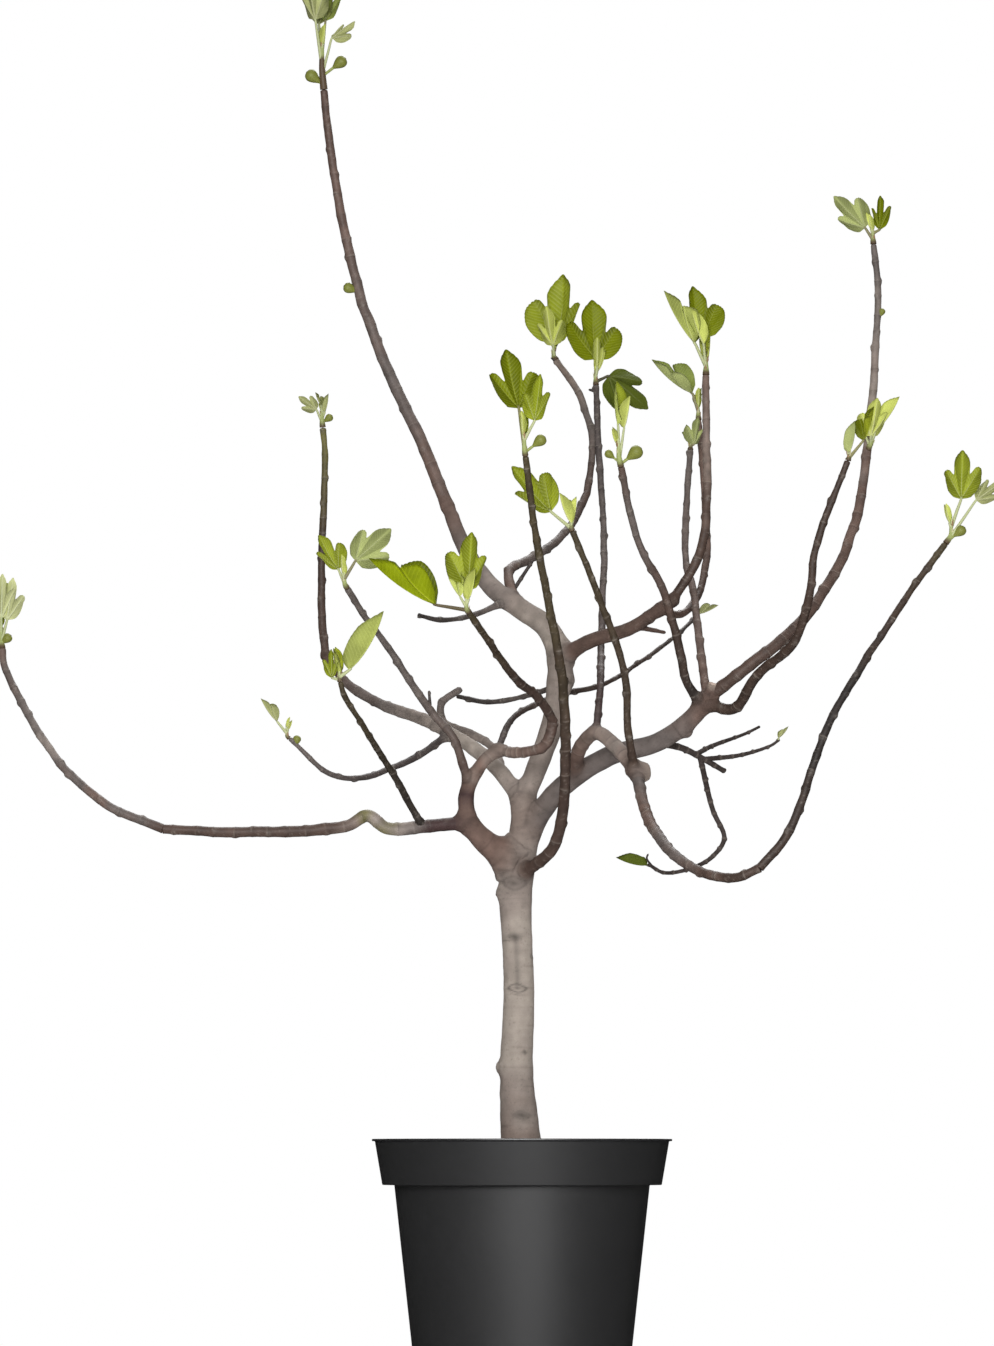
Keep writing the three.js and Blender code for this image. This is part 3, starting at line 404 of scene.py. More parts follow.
# a leaf is ((turn, lean, length) of the stalk, the same of the blade, spread, roll, tone); spread runs
# from 0, folded, to 1, flat, and roll turns the blade about its midrib
# a fig is (turn, place along the stem, radius, stalk length)
sprays = dict(
    leader_leaves=dict(on="leader_rise", stem=62, woody=44, leaves=[
        ((-10, 15, 52), (-5, 55, 42), 0.6, -100, "downy"),
        ((-145, 10, 64), (-125, 15, 68), 0.6, 20, "downy"),
        ((60, 10, 54), (70, 15, 60), 0.6, 20, "dusty"),
        ((110, 20, 40), (100, 20, 76), 0.6, 0, "downy")],
        figs=[(180, 0.1, 9, 12), (0, 0.3, 8.5, 24)]),
    left_rise_leaves=dict(on="upper_left_rise", stem=20, leaves=[
        ((-165, 25, 20), (-170, 55, 32), 0.8, 80, "downy"),
        ((5, 25, 10), (10, 10, 28), 0.2, 0, "downy"),
        ((120, 15, 14), (155, 25, 22), 0.5, 0, "downy")],
        figs=[(0, 0.3, 5.5, 7)]),
    slant_leaves=dict(on="slant_shoot", stem=14, leaves=[
        ((155, 25, 24), (165, 30, 56), 0.75, -50, "fresh"),
        ((-25, 35, 28), (-15, 50, 66), 0.9, -80, "dusty")]),
    hook_leaves=dict(on="hook_shoot_rise", stem=12, leaves=[
        ((175, 80, 40), (175, 55, 112), 0.4, 0, "ripe"),
        ((-155, 35, 16), (-150, 35, 30), 0.4, 0, "fresh"),
        ((80, 20, 20), (65, 10, 80), 0.7, 20, "fresh")]),
    left_arm_leaves=dict(on="left_arm_rise", stem=26, leaves=[
        ((-20, 15, 32), (-35, 10, 60), 0.6, -50, "pale"),
        ((165, 15, 32), (165, 10, 80), 0.6, 0, "lime"),
        ((-85, 25, 20), (-80, 15, 64), 0.5, 0, "pale")],
        figs=[(0, 0.35, 6.5, 4)]),
    droop_leaf=dict(on="droop_shoot", stem=8, leaves=[
        ((-170, 40, 20), (-170, 35, 40), 0.3, 0, "downy")]),
    left_whip_leaves=dict(on="left_whip", stem=6, leaves=[
        ((165, 75, 11), (100, 10, 40), 0.5, -10, "fresh"),
        ((-10, 55, 16), (-10, 30, 92), 0.25, 0, "fresh")]),
    front_leaves=dict(on="front_shoot", stem=22, leaves=[
        ((140, 10, 56), (140, 15, 84), 0.8, -45, "olive"),
        ((-20, 30, 28), (-45, 10, 62), 0.6, 130, "fresh")],
        figs=[(0, 0.2, 7.5, 18)]),
    knob_leaves=dict(on="knob_shoot", stem=8, leaves=[
        ((165, 50, 36), (170, 40, 82), 0.7, -60, "fresh"),
        ((-90, 65, 4), (-145, 25, 44), 0.25, 0, "lime")]),
    hook_riser_leaves=dict(on="hook_riser_top", stem=14, leaves=[
        ((-105, 25, 18), (-130, 15, 60), 0.7, 20, "lime"),
        ((60, 25, 16), (55, 10, 108), 0.85, 10, "fresh")]),
    centre_whip_leaves=dict(on="centre_whip", stem=16, leaves=[
        ((5, 65, 20), (5, 130, 76), 0.8, -80, "dark"),
        ((-70, 20, 16), (-90, 15, 44), 0.25, 0, "lime"),
        ((85, 10, 24), (125, 6, 90), 1, -30, "olive")]),
    right_left_leaves=dict(on="right_left_shoot", stem=26, leaves=[
        ((-30, 10, 42), (-50, 15, 44), 0.25, 0, "lime"),
        ((115, 4, 32), (105, 4, 60), 0.28, 20, "fresh")],
        figs=[(0, 0.1, 9, 17), (180, 0.2, 5.5, 13)]),
    right_inner_leaves=dict(on="right_inner_shoot", stem=18, leaves=[
        ((-125, 10, 36), (-140, 25, 52), 0.25, 0, "lime"),
        ((175, 25, 36), (175, 30, 88), 0.5, 0, "fresh"),
        ((120, 10, 36), (135, 15, 80), 0.8, -20, "olive")]),
    right_back_leaves=dict(on="right_back_shoot", stem=14, leaves=[
        ((100, 10, 16), (45, 15, 28), 0.5, 0, "dusty"),
        ((-160, 20, 26), (-175, 50, 76), 0.6, -20, "dusty")]),
    back_riser_leaves=dict(on="right_back_riser", stem=6, leaves=[
        ((100, 15, 9), (135, 15, 28), 0.6, -50, "dusty"),
        ((-40, 75, 6), (-55, 15, 40), 0.7, -10, "dusty")]),
    long_shoot_leaves=dict(on="right_long_shoot", stem=16, leaves=[
        ((-165, 35, 20), (-175, 45, 64), 0.75, 60, "dusty"),
        ((20, 60, 12), (80, 10, 52), 0.5, 10, "olive")]),
    side_leaves=dict(on="right_long_shoot", at=0.6, stem=16, leaves=[
        ((-145, 30, 16), (-120, 30, 26), 0.5, 0, "lime"),
        ((-95, 50, 12), (-70, 25, 56), 0.8, -10, "lime"),
        ((-15, 25, 16), (-5, 35, 56), 0.2, 0, "lime")]),
    front_right_leaves=dict(on="right_front_shoot", stem=7, leaves=[
        ((15, 40, 32), (35, 20, 52), 0.5, 0, "olive"),
        ((-90, 20, 4), (-20, 10, 44), 0.2, 0, "dusty")]),
    loop_leaves=dict(on="loop_rise", stem=24, leaves=[
        ((-5, 35, 60), (-10, 55, 48), 0.6, -80, "downy"),
        ((10, 20, 40), (60, 5, 68), 0.75, 25, "fresh")],
        figs=[(0, 0.15, 7, 15)]),
    whip_tip_leaf=dict(on="back_whip", stem=4, leaves=[
        ((0, 60, 5), (0, 65, 32), 0.5, 0, "downy")]),
)

# dead side wood that forks again and again; twigs grow on its stem, and a small leaf may end one
deadWood = dict(
    dead_twigs=dict(
        on="right_bough", at=0.72, thick=(5, 3.4), by=[(213, -20, 861), (244, 8, 848), (274, 34, 833)],
        twigs=[dict(at=0.55, thick=(3.6, 1.8), by=[(256, 28, 867), (303, 68, 887), (324, 80, 898)]),
               dict(at=0.68, thick=(3.6, 1.8), by=[(296, 40, 856), (338, 66, 871), (350, 74, 880)],
                    leaf=((10, 20, 4), (10, 40, 22), 0.6, 0, "downy"), seed=900)]),
    hanging_twig=dict(
        on="dead_twigs", at=0.62, thick=(4, 2.3),
        by=[(258, 50, 782), (273, 46, 744), (256, 34, 718), (223, 6, 700), (190, -16, 694), (168, -40, 704)],
        twigs=[dict(at=0.97, thick=(1.8, 1.2), by=[(166, -42, 712), (168, -44, 718)])],
        leaf=((-170, 80, 5), (-170, 76, 46), 0.1, 0, "dark"), seed=910),
)

curves = dict(trunk=curveThrough(trunk["by"]))
radii = dict(trunk=lambda t: np.interp(t, np.linspace(0, 1, len(trunk["girth"])), trunk["girth"]))


def taper(thick):
    return lambda t: mix(thick[0], thick[1], t)


for limbName, limb in {**limbs, **deadWood}.items():
    curves[limbName] = curveThrough([pointAt(curves[limb["on"]], limb["at"])] + limb["by"])
    radii[limbName] = taper(limb["thick"])

# the wood that is one grown-together body; every other limb is a shoot that stands on it
oldWood = ["trunk", "left_bough", "left_riser", "upper_left_bough", "cut_stub", "centre_bough", "leader",
           "right_upper_bough", "right_bough", "arch"]
allWood = ["trunk"] + list(limbs)
shootNames = [name for name in limbs if name not in oldWood]
followed = [limb["on"] for limb in limbs.values() if limb["at"] == 1]  # their line goes on in another limb


def sunkFoot(name):  # how much of a limb's start lies inside its parent, mm
    limb = limbs.get(name, dict(on="trunk", at=1))
    return radii[limb["on"]](limb["at"]) if limb["at"] < 1 else 0


# bark

bark = dict(
    step=1.5,  # mm between two rings of a shoot
    sides=18,
    nodeGap=(20, 36),  # mm between two leaf scars, least and most
    padHeight=1.7, padLong=2.7, padWide=2.3,  # leaf scar on young wood, mm
    budHeight=1.3, budLong=2, budWide=1.8,
    ringHeight=0.3,
    swelling=0.05,  # of the radius
    lumps=0.5,  # mm
    bend=1.6,  # how far a shoot wanders from its line, mm
    flare=0.35,  # how much wider its foot is, of the radius
    endRound=2.5,  # mm
    smoothFrom=6, smoothBy=12,  # radii between which young bark grows smooth, mm
    clouds=0.22, trunkClouds=0.1,  # how uneven its tone is
    paleTone="b9aea2", darkTone="2c2320",
    cutTone="c6b0a2", collarTone="a5968a",
)

# what is left of buds on the trunk, in mm and degrees; `rim` is how much of it is an eye with a rim, the
# rest being a dark smudge
trunkScars = table("level turn wide high rim", [
    (540, -97, 15, 5.6, 1.0), (609, -98, 11, 5, 0.15), (371, -80, 11, 6, 0.25), (680, -97, 17, 9, 0.5),
    (582, -14, 7, 5, 0.6), (666, 176, 6, 4, 0.6), (455, -62, 4, 2.5, 0.2), (520, 108, 12, 6, 1.0),
    (628, 84, 9, 5, 0.5), (420, 62, 10, 5, 0.7)])
trunkStreak = dict(low=546, high=606, turn=-96, wide=4.6, shade=0.34)
trunkRadius, trunkTop = 22, 745  # what counts as trunk
scarTurn = 2.4  # from one leaf scar to the next, in radians


def angleGap(a, b):  # the short way round between two angles
    return (a - b + math.pi) % (2 * math.pi) - math.pi


def barkAt(name, run, angle, spots):
    # height of the bark over the smooth limb and its colour, from the run along it and the angle round it:
    # young wood has a pad, a bud and a ring at each leaf scar, old wood only a thin dark line there
    number = allWood.index(name)
    curve = curves[name]
    t = np.clip(run / curve["long"], 0, 1)
    radius = radii[name](t) + 0 * angle
    old = ease(bark["smoothFrom"], bark["smoothBy"], radius)
    young = 1 - old
    gap = limbs.get(name, trunk).get("gap", bark["nodeGap"])
    nodes = np.cumsum(mix(*gap, chance(number * 31 + np.arange(60))))
    height, pale, dark = np.zeros((3, *radius.shape))
    for k, node in enumerate(nodes[nodes < curve["long"] + 20]):
        arc = angleGap(angle, scarTurn * k + number) * radius
        off = run - node + 0.6 * np.sin(angle + k)
        ring = hump(off, 0.6 + 0.6 * old)
        share = ease(-0.6, 0.8, np.cos(angle - 6.28 * chance(k + number * 11)))  # a ring's stronger side
        pad = hump(off + 1.4, bark["padLong"]) * hump(arc, bark["padWide"] + 0.1 * radius)
        bud = hump(off - 2.4, bark["budLong"]) * hump(arc, bark["budWide"])
        height += young * (bark["ringHeight"] * ring + bark["padHeight"] * pad * (1 - 0.45 * pad ** 4))
        height += young * (bark["budHeight"] * bud + bark["swelling"] * radius * hump(off, 5))
        height += old * (0.012 * radius * hump(off, 9) - 0.12 * ring * share)
        pale += young * (0.45 * share ** 2 * hump(off - 1.3, 0.7) + 0.7 * pad * (1 - pad ** 3))
        dark += young * (0.7 * share * hump(off + 0.6, 0.8) + 0.75 * pad ** 6 + 0.3 * hump(off + 3.5, 3))
        dark += old * 0.9 * ring * share * chance(k + number * 5)
    local = together(run, radius * np.cos(angle), radius * np.sin(angle))
    streak = noise(local * (0.2, 1, 1), 4, number + 1)
    cross = noise(local * (1, 0.13, 0.13), 2.2, number + 2)
    pores = ease(0.5, 0.8, noise(local * (1.4, 1, 1), 2.4, number + 4))
    height += bark["lumps"] * (noise(spots, 16, number) + 0.3 * noise(spots, 5, number)) + 0.06 * cross
    tones = np.stack([linear(barkTones[tone]) for tone in limbs.get(name, trunk)["bark"].split()])
    along = np.clip(t + 0.12 * noise(spots, 26, number + 3), 0, 1)
    colour = together(*(np.interp(along, np.linspace(0, 1, len(tones)), column) for column in tones.T))
    clouds = bark["trunkClouds"] if name == "trunk" else bark["clouds"]
    grain = clouds * noise(spots, 9, number + 5) + (0.05 + 0.15 * young) * streak + 0.04 * cross
    pale = (0.5 * pale + 0.2 * young * pores).clip(0, 0.5)
    dark = (0.5 * dark + 0.22 * old * pores).clip(0, 0.6)
    colour = mix(colour * (1 + grain)[..., None], linear(bark["paleTone"]), pale[..., None])
    return height, mix(colour, linear(bark["darkTone"]), dark[..., None])


def shootShape(name):
    # a shoot: its circle is carried along its line, which wanders a little from scar to scar; its foot
    # opens where it stands on another shoot
    path = carrier(curves[name], bark["step"])
    run = path["run"][:, None]
    still = np.sin(math.pi * path["t"])[:, None]  # the ends stay where they join
    along = together(path["run"], allWood.index(name), 0)
    for way, seed in (("first", 1), ("second", 2)):
        path["centre"] = path["centre"] + path[way] * bark["bend"] * still * noise(along, 30, seed)[:, None]
    angle = ringAngles(bark["sides"])[None]
    radius = radii[name](path["t"])[:, None] + 0 * angle
    height, colour = barkAt(name, run, angle, ringsOf(path, radius, angle))
    flare = bark["flare"] * radius * hump(run - sunkFoot(name), 4) * (limbs[name]["at"] < 1)
    end = bark["endRound"]
    left = curves[name]["long"] - run + end * (name in followed)
    radius = (radius + flare + height) * roundedEnd(left, end)
    tint = np.vstack([colour.reshape(-1, 3), colour[0, :1], colour[-1, :1]])
    return outward(shape(*tubeOn(path, radius, bark["sides"]), tint=tint))


def spurCurve(spur):
    start = pointAt(curves[spur["on"]], spur["at"])
    reach = radii[spur["on"]](spur["at"]) + spur["long"]
    return curveThrough([start, start + reach * heading(spur["turn"], spur["lean"])])


# the skin of the old wood

skin = dict(
    voxel=1.8,  # mm
    sides=24,  # of the tubes that go into it
    margin=26,  # mm round a limb within which points are looked at
    block=20000,  # points looked at in one go
    footReach=3.4,  # how far the skin follows a shoot, in its radii
    fillet=1.7,  # width of the hollow of a fork, in radii of the thinner limb
    reach=14,  # how far from a limb its bark still counts, mm
    reliefBlend=1.6, toneBlend=3.5,  # mm over which the barks of two limbs blend
    faint=1e-9,  # weight of the plain tone, which shows only where no limb is near
)

woodNames = oldWood + [name for name in shootNames if limbs[name]["on"] in oldWood]


def woodPath(name):
    # the stretch of a limb that the skin follows, and its radius: all of an old limb, and of a shoot the
    # foot, which sinks into the shoot's own bark before it ends
    path = carrier(curves[name], 2)
    sunk = sunkFoot(name)
    path["radius"] = radii[name](path["t"])
    keep = path["run"] >= 0.7 * sunk
    if name not in oldWood:
        reach = skin["footReach"] * radii[name](0)
        keep = keep & (path["run"] < sunk + reach)
        path["radius"] = path["radius"] * mix(1.12, 0.86, ease(0, reach, path["run"] - sunk))
    return {key: value[keep] for key, value in path.items()}


def beside(path, points):
    # the points near a path: which they are, the nearest place on it, the run and the angle there, and
    # how far they stand off its skin
    margin = path["radius"].max() + skin["margin"]
    low, high = path["centre"].min(0) - margin, path["centre"].max(0) + margin
    index = np.nonzero(np.all((points > low) & (points < high), 1))[0]
    place = np.empty(len(index), int)
    line = path["centre"].astype(np.float32)
    for start in range(0, len(index), skin["block"]):
        some = slice(start, start + skin["block"])
        apart = points[index[some]].astype(np.float32)[:, None] - line[None]
        place[some] = (apart ** 2).sum(-1).argmin(1)
    away = points[index] - path["centre"][place]
    forward, radius = path["forward"][place], path["radius"][place]
    ahead = (away * forward).sum(-1)
    inner = (place > 0) & (place < len(line) - 1)  # between the ends, only what is square to the path counts
    proud = np.linalg.norm(away - np.where(inner, ahead, 0)[:, None] * forward, axis=1) - radius
    if path.get("flatEnd"):
        sideways = np.linalg.norm(away - ahead[:, None] * forward, axis=1) - radius
        proud = np.where(place == len(line) - 1, np.maximum(sideways, ahead), proud)
    angle = np.arctan2((away * path["second"][place]).sum(-1), (away * path["first"][place]).sum(-1))
    return index, place, path["run"][place] + ahead, angle, proud


def forkValue(points, paths):
    # how far each point stands off the run-together limbs, and how deep in a fork it is: where the two
    # nearest skins are about as near, they are blended over a width that grows with the thinner limb's
    # radius and with the angle between the two
    gap = np.full((2, len(points)), 1e3)
    way = np.zeros((2, len(points), 3))
    girth = np.zeros((2, len(points)))
    for path in paths.values():
        index, place, _, _, proud = beside(path, points)
        nearest = proud < gap[0, index]
        second = ~nearest & (proud < gap[1, index])
        for values, found in ((gap, proud), (way, path["forward"][place]), (girth, path["radius"][place])):
            values[1, index[nearest]] = values[0, index[nearest]]
            values[0, index[nearest]] = found[nearest]
            values[1, index[second]] = found[second]
    slant = np.sqrt(1 - np.clip((way[0] * way[1]).sum(-1), -1, 1) ** 2)
    width = 0.5 + skin["fillet"] * girth.min(0) * slant
    depth = np.clip(1 - (gap[1] - gap[0]) / width, 0, 1)
    return gap[0] - depth ** 2 * width / 4, depth


def oldWoodShape():
    # the trunk, the boughs and the feet of the shoots run together: their tubes go into one voxel
    # skin, which is drawn on to the blended limbs and then raised by the bark of those that are near
    paths = {name: woodPath(name) for name in woodNames}
    parts = []
    for name in woodNames:
        path = carrier(curves[name], 2)
        end = paths[name]["run"][-1]
        path = {key: value[path["run"] <= end] for key, value in path.items()}
        radius = np.interp(path["run"], paths[name]["run"], paths[name]["radius"])
        radius = radius * roundedEnd(end - path["run"], radius[-1] * 0.8, 0.03)
        parts.append(outward(shape(*tubeOn(path, radius[:, None], skin["sides"]))))
    for number, spur in enumerate(spurs):
        if spur["on"] in oldWood:
            parts.append(plainTube(spurCurve(spur), spur["thick"], 16, 2, roundEnd=spur["end"] != "cut"))
            paths[number] = spurPath(spur)
    points, quads, edges = voxelSkin(joined(parts))
    print(f"old wood skin: {len(points)} points")
    points = relaxed(points, edges, 5)
    for _ in range(4):
        value, depth = forkValue(points, paths)
        points = points - normalsOf(points, quads) * value.clip(-2.5, 2.5)[:, None] * 0.9
        points = relaxed(points, edges, 3)
    height, tint = barkOn(points, paths, depth)
    points = points + normalsOf(points, quads) * height[:, None]
    return shape(points, quads, tint=tint)


def spurPath(spur):
    line = spurCurve(spur)
    path = carrier(line, 1)
    path["radius"] = mix(spur["thick"][0], spur["thick"][1], path["t"])
    sunk = 0.6 * radii[spur["on"]](spur["at"])
    flatEnd = spur["end"] == "cut"
    keep = (path["run"] > sunk) & (path["run"] < line["long"] - path["radius"] * (0 if flatEnd else 0.9))
    keep[len(keep) // 2] = True
    return dict({key: value[keep] for key, value in path.items()}, flatEnd=flatEnd)


def voxelSkin(made):  # the outside of closed shapes that run into each other, as points, quads and edges
    rough = placed("roughWood", meshOf("roughWood", made))
    remesh = rough.modifiers.new("skin", "REMESH")
    remesh.mode = "VOXEL"
    remesh.voxel_size = skin["voxel"] * mm
    mesh = bpy.data.meshes.new_from_object(rough.evaluated_get(bpy.context.evaluated_depsgraph_get()))
    points = np.empty(len(mesh.vertices) * 3, np.float32)
    mesh.vertices.foreach_get("co", points)
    corners = np.empty(len(mesh.loops), np.int32)
    mesh.loops.foreach_get("vertex_index", corners)
    edges = np.empty(len(mesh.edges) * 2, np.int32)
    mesh.edges.foreach_get("vertices", edges)
    bpy.data.objects.remove(rough)
    bpy.data.meshes.remove(mesh)
    return points.reshape(-1, 3).astype(float) / mm, corners.reshape(-1, 4), edges.reshape(-1, 2)


def addedUp(index, vectors, total):  # the sum of the vectors that go to each of so many points
    return np.stack([np.bincount(index, vectors[:, k], total) for k in range(3)], -1)


def relaxed(points, edges, times):  # each point drawn to the mean of its neighbours, and pushed back, in turn
    total, (near, far) = len(points), edges.T
    count = np.bincount(edges.ravel(), minlength=total)[:, None]
    for share in (0.5, -0.505) * times:
        neighbours = addedUp(near, points[far], total) + addedUp(far, points[near], total)
        points = points + (neighbours / count - points) * share
    return points


def normalsOf(points, quads):
    a, b, c, d = points[quads].transpose(1, 0, 2)
    return unit(addedUp(quads.ravel(), np.repeat(np.cross(c - a, d - b), 4, 0), len(points)))


def barkOn(points, paths, depth):
    # height and colour of the skin: the bark of every limb within reach, weighed by how close it is, a fine
    # groove along the bottom of each fork, darkened with painted shade like the fork's hollow, the trunk's
    # scars and the pale wood of cut stubs
    weights, shares = np.full((2, len(points)), skin["faint"])
    height = np.zeros(len(points))
    tint = np.tile(skin["faint"] * linear(barkTones["umber"]), (len(points), 1))
    for name in woodNames:
        index, _, run, angle, proud = beside(paths[name], points)
        close = proud < skin["reach"]
        index, run, angle, proud = (values[close] for values in (index, run, angle, proud))
        up, colour = barkAt(name, run, angle, points[index])
        proud = np.maximum(proud, -3)
        weight = np.exp(-proud / skin["reliefBlend"])
        weights[index] += weight
        height[index] += up * weight
        weight = np.exp(-proud / skin["toneBlend"])
        shares[index] += weight
        tint[index] += colour * weight[:, None]
    crease = ease(0.75, 1, depth) * ease(-0.5, 0.3, noise(points, 11, 8))
    folds = ease(0.35, 0.9, depth) * noise(points * (1, 1, 2.5), 7, 9)
    height = height / weights - 0.45 * crease + 0.3 * folds
    # painted shade: darker in each crease and over the hollow of the fork; the folds are painted lighter
    # where they rise and darker where they sink
    tint = tint / shares[:, None] * (1 - 0.2 * crease + 0.12 * folds - 0.1 * ease(0.3, 1, depth))[:, None]
    markTrunk(points, height, tint)
    for spur in spurs:
        if spur["end"] == "cut":
            markCut(points, tint, spurCurve(spur), spur["thick"][1])
    return height, tint


def markCut(points, tint, line, radius):  # pale wood with its rings on a cut face, and a grey collar round it
    off = points - pointAt(line, 1)
    ring = np.linalg.norm(off, axis=1) / radius
    face = (ring < 1.1) & (off @ wayAt(line, 1) > -1.2)
    shade = 0.25 * hump(ring % 0.3 - 0.15, 0.05) + 0.5 * ease(0.75, 1, ring)
    tint[:] = mix(tint, linear(bark["collarTone"]), 0.6 * ease(2.4, 1, ring)[:, None])
    tint[face] = linear(bark["cutTone"]) * (1 - shade[face])[:, None]


def markTrunk(points, height, tint):
    # an old bud is an eye with a raised rim round a dark hollow, or only a smudge; the streak is a shade
    line = curves["trunk"]["line"]
    level = points[:, 2]
    x, y = (points[:, k] - np.interp(level, line[:, 2], line[:, k]) for k in (0, 1))
    onTrunk = (np.hypot(x, y) < 32) & (level < trunkTop)
    turn = np.arctan2(y, x)
    for scar in trunkScars:
        flat = angleGap(turn, math.radians(scar["turn"])) * trunkRadius / scar["wide"]
        high = (level - scar["level"] + 0.8 * np.sin(flat * 3)) / scar["high"]
        ring = (np.abs(flat) ** 1.3 + np.abs(high) ** 1.3) ** (1 / 1.3)  # an eye with pointed ends
        rim = scar["rim"] * onTrunk
        height += rim * (0.9 * hump(ring - 0.68, 0.25) - 0.7 * hump(ring - 1.0, 0.2) - 0.6 * hump(ring, 0.3))
        lower = hump(high + 1.5, 0.3) * hump(flat, 0.8)
        shade = rim * (0.42 * hump(ring - 1.0, 0.2) + 0.36 * hump(ring, 0.3) + 0.3 * lower)
        shade = shade + onTrunk * (0.3 + 0.9 * (1 - scar["rim"])) * 0.55 * hump(ring, 1.1)
        tint *= 1 - shade.clip(0, 0.6)[:, None]
    s = trunkStreak
    within = ease(s["low"] - 8, s["low"], level) * ease(s["high"] + 8, s["high"], level) * onTrunk
    aside = angleGap(turn, math.radians(s["turn"])) * trunkRadius
    tint *= 1 - s["shade"] * (within * hump(aside, s["wide"]))[:, None]


# leaves: one rule for every blade, the part's own

lobes = [(0, 1, 0.62), (37, 0.74, 0.62)]  # angle off the midrib, length, width

leafShape = dict(
    columns=164, rows=9,
    edgeAngle=104,
    cut=(0.12, 0.3), cutAngle=24,  # how deep the blade is cut between its lobes, least and most
    lopsided=0.07,  # how much longer one side lobe is
    blunt=0.08,  # how much of the blade's tip is taken off
    thickness=0.6,  # mm
    teeth=0.02, uneven=0.02, toothGap=5.2,  # of the reach; degrees
    lobeCup=0.08,  # how far a lobe's margins rise beside its rib, of the blade's length
    wave=0.02,
    veinGap=0.06, veinSlant=0.75,  # gap in blade lengths; how far a vein runs forward as it runs out
    ribDepth=0.9, ribWidth=1.2,  # mm
    bright=1.38, halfShade=0.45, blotches=0.25,  # tone, how much painted shade darkens one half of each lobe, as where its fold turns from the light, and a blotch
)


def outlineAt(angle, leaf):
    # how far the blade reaches at each angle off its midrib, in blade lengths: the outline round lobes that
    # are ellipses through its foot, cut in between them, deeper on one leaf than on the next, its tip
    # drawn out to a blunt point
    s = leafShape
    reach = np.full(np.shape(angle), 0.1 if leaf["lobes"] > 1 else 0.02)
    for middle, long, wide in lobes[:leaf["lobes"]]:
        off = np.radians(np.abs(angle) - middle)
        ahead, aside = np.cos(off), np.sin(off)
        uneven = 1 + s["lopsided"] * np.sign(angle) * (middle > 0) * mix(-1, 1, chance(leaf["seed"] + 4))
        lobe = uneven * long * ahead / (ahead ** 2 + (long * aside / wide) ** 2)
        reach = np.maximum(reach, np.where(ahead > 0, lobe, 0))
    if leaf["lobes"] > 1:
        cut = mix(*s["cut"], chance(leaf["seed"] + 3))
        reach = reach * (1 - cut * hump(np.abs(angle) - s["cutAngle"], 4))
    return reach * (1 - s["blunt"] * (1 - np.exp(-np.abs(angle) / 4)))


def growLeaf(root, leaf, seed):
    # where a leaf starts, which way its stalk and blade point and how far it is open, by the seeded rule
    (stalkTurn, stalkLean, stalkLong), (turn, lean, long), spread, roll, tone = leaf
    stalkWay = heading(stalkTurn, stalkLean)
    ahead = heading(turn, lean)
    face = turned(heading(turn + 180, 90 - lean), ahead, math.radians(roll + 16 * (chance(seed) - 0.5)))
    side = np.cross(ahead, face)
    curl = mix(0.25, 0.6, chance(seed + 2))
    ahead, face = turned(ahead, side, -curl / 2), turned(face, side, -curl / 2)
    lobed = spread >= 0.3  # the least open leaves are simple ones
    return dict(root=root, elbow=root + stalkWay * stalkLong * 0.6, foot=root + stalkWay * stalkLong,
                ahead=ahead, face=face, side=side, long=long, lobes=2 if lobed else 1,
                draw=mix(0.5, 1, spread) if lobed else 1,
                fold=math.radians(mix(52, 6, spread) if lobed else 28),
                cup=mix(0.9, 0.5, spread) + 0.3 * chance(seed + 1),
                curl=curl, tone=tone, seed=seed, spread=spread)


def bladePoint(leaf, along, across, rise):
    # along the midrib, across it and off its upper face: each half cups upward on an arc, folds up about
    # the midrib and curls with it
    half = np.abs(across)
    cup = np.maximum(leaf["cup"] * half / leaf["long"], 1e-4)
    out = half * np.sin(cup) / cup - rise * np.sin(cup)
    high = half * (1 - np.cos(cup)) / cup + rise * np.cos(cup)
    fold = leaf["fold"] * ease(-0.01, 0.05, half / leaf["long"])
    side = np.sign(across) * (out * np.cos(fold) - high * np.sin(fold))
    lift = out * np.sin(fold) + high * np.cos(fold)
    turn = leaf["curl"] * along / leaf["long"]
    arc = leaf["long"] / leaf["curl"]
    return (leaf["foot"] + leaf["ahead"] * ((arc - lift) * np.sin(turn))[..., None]
            + leaf["face"] * (arc * (1 - np.cos(turn)) + lift * np.cos(turn))[..., None]
            + leaf["side"] * side[..., None])


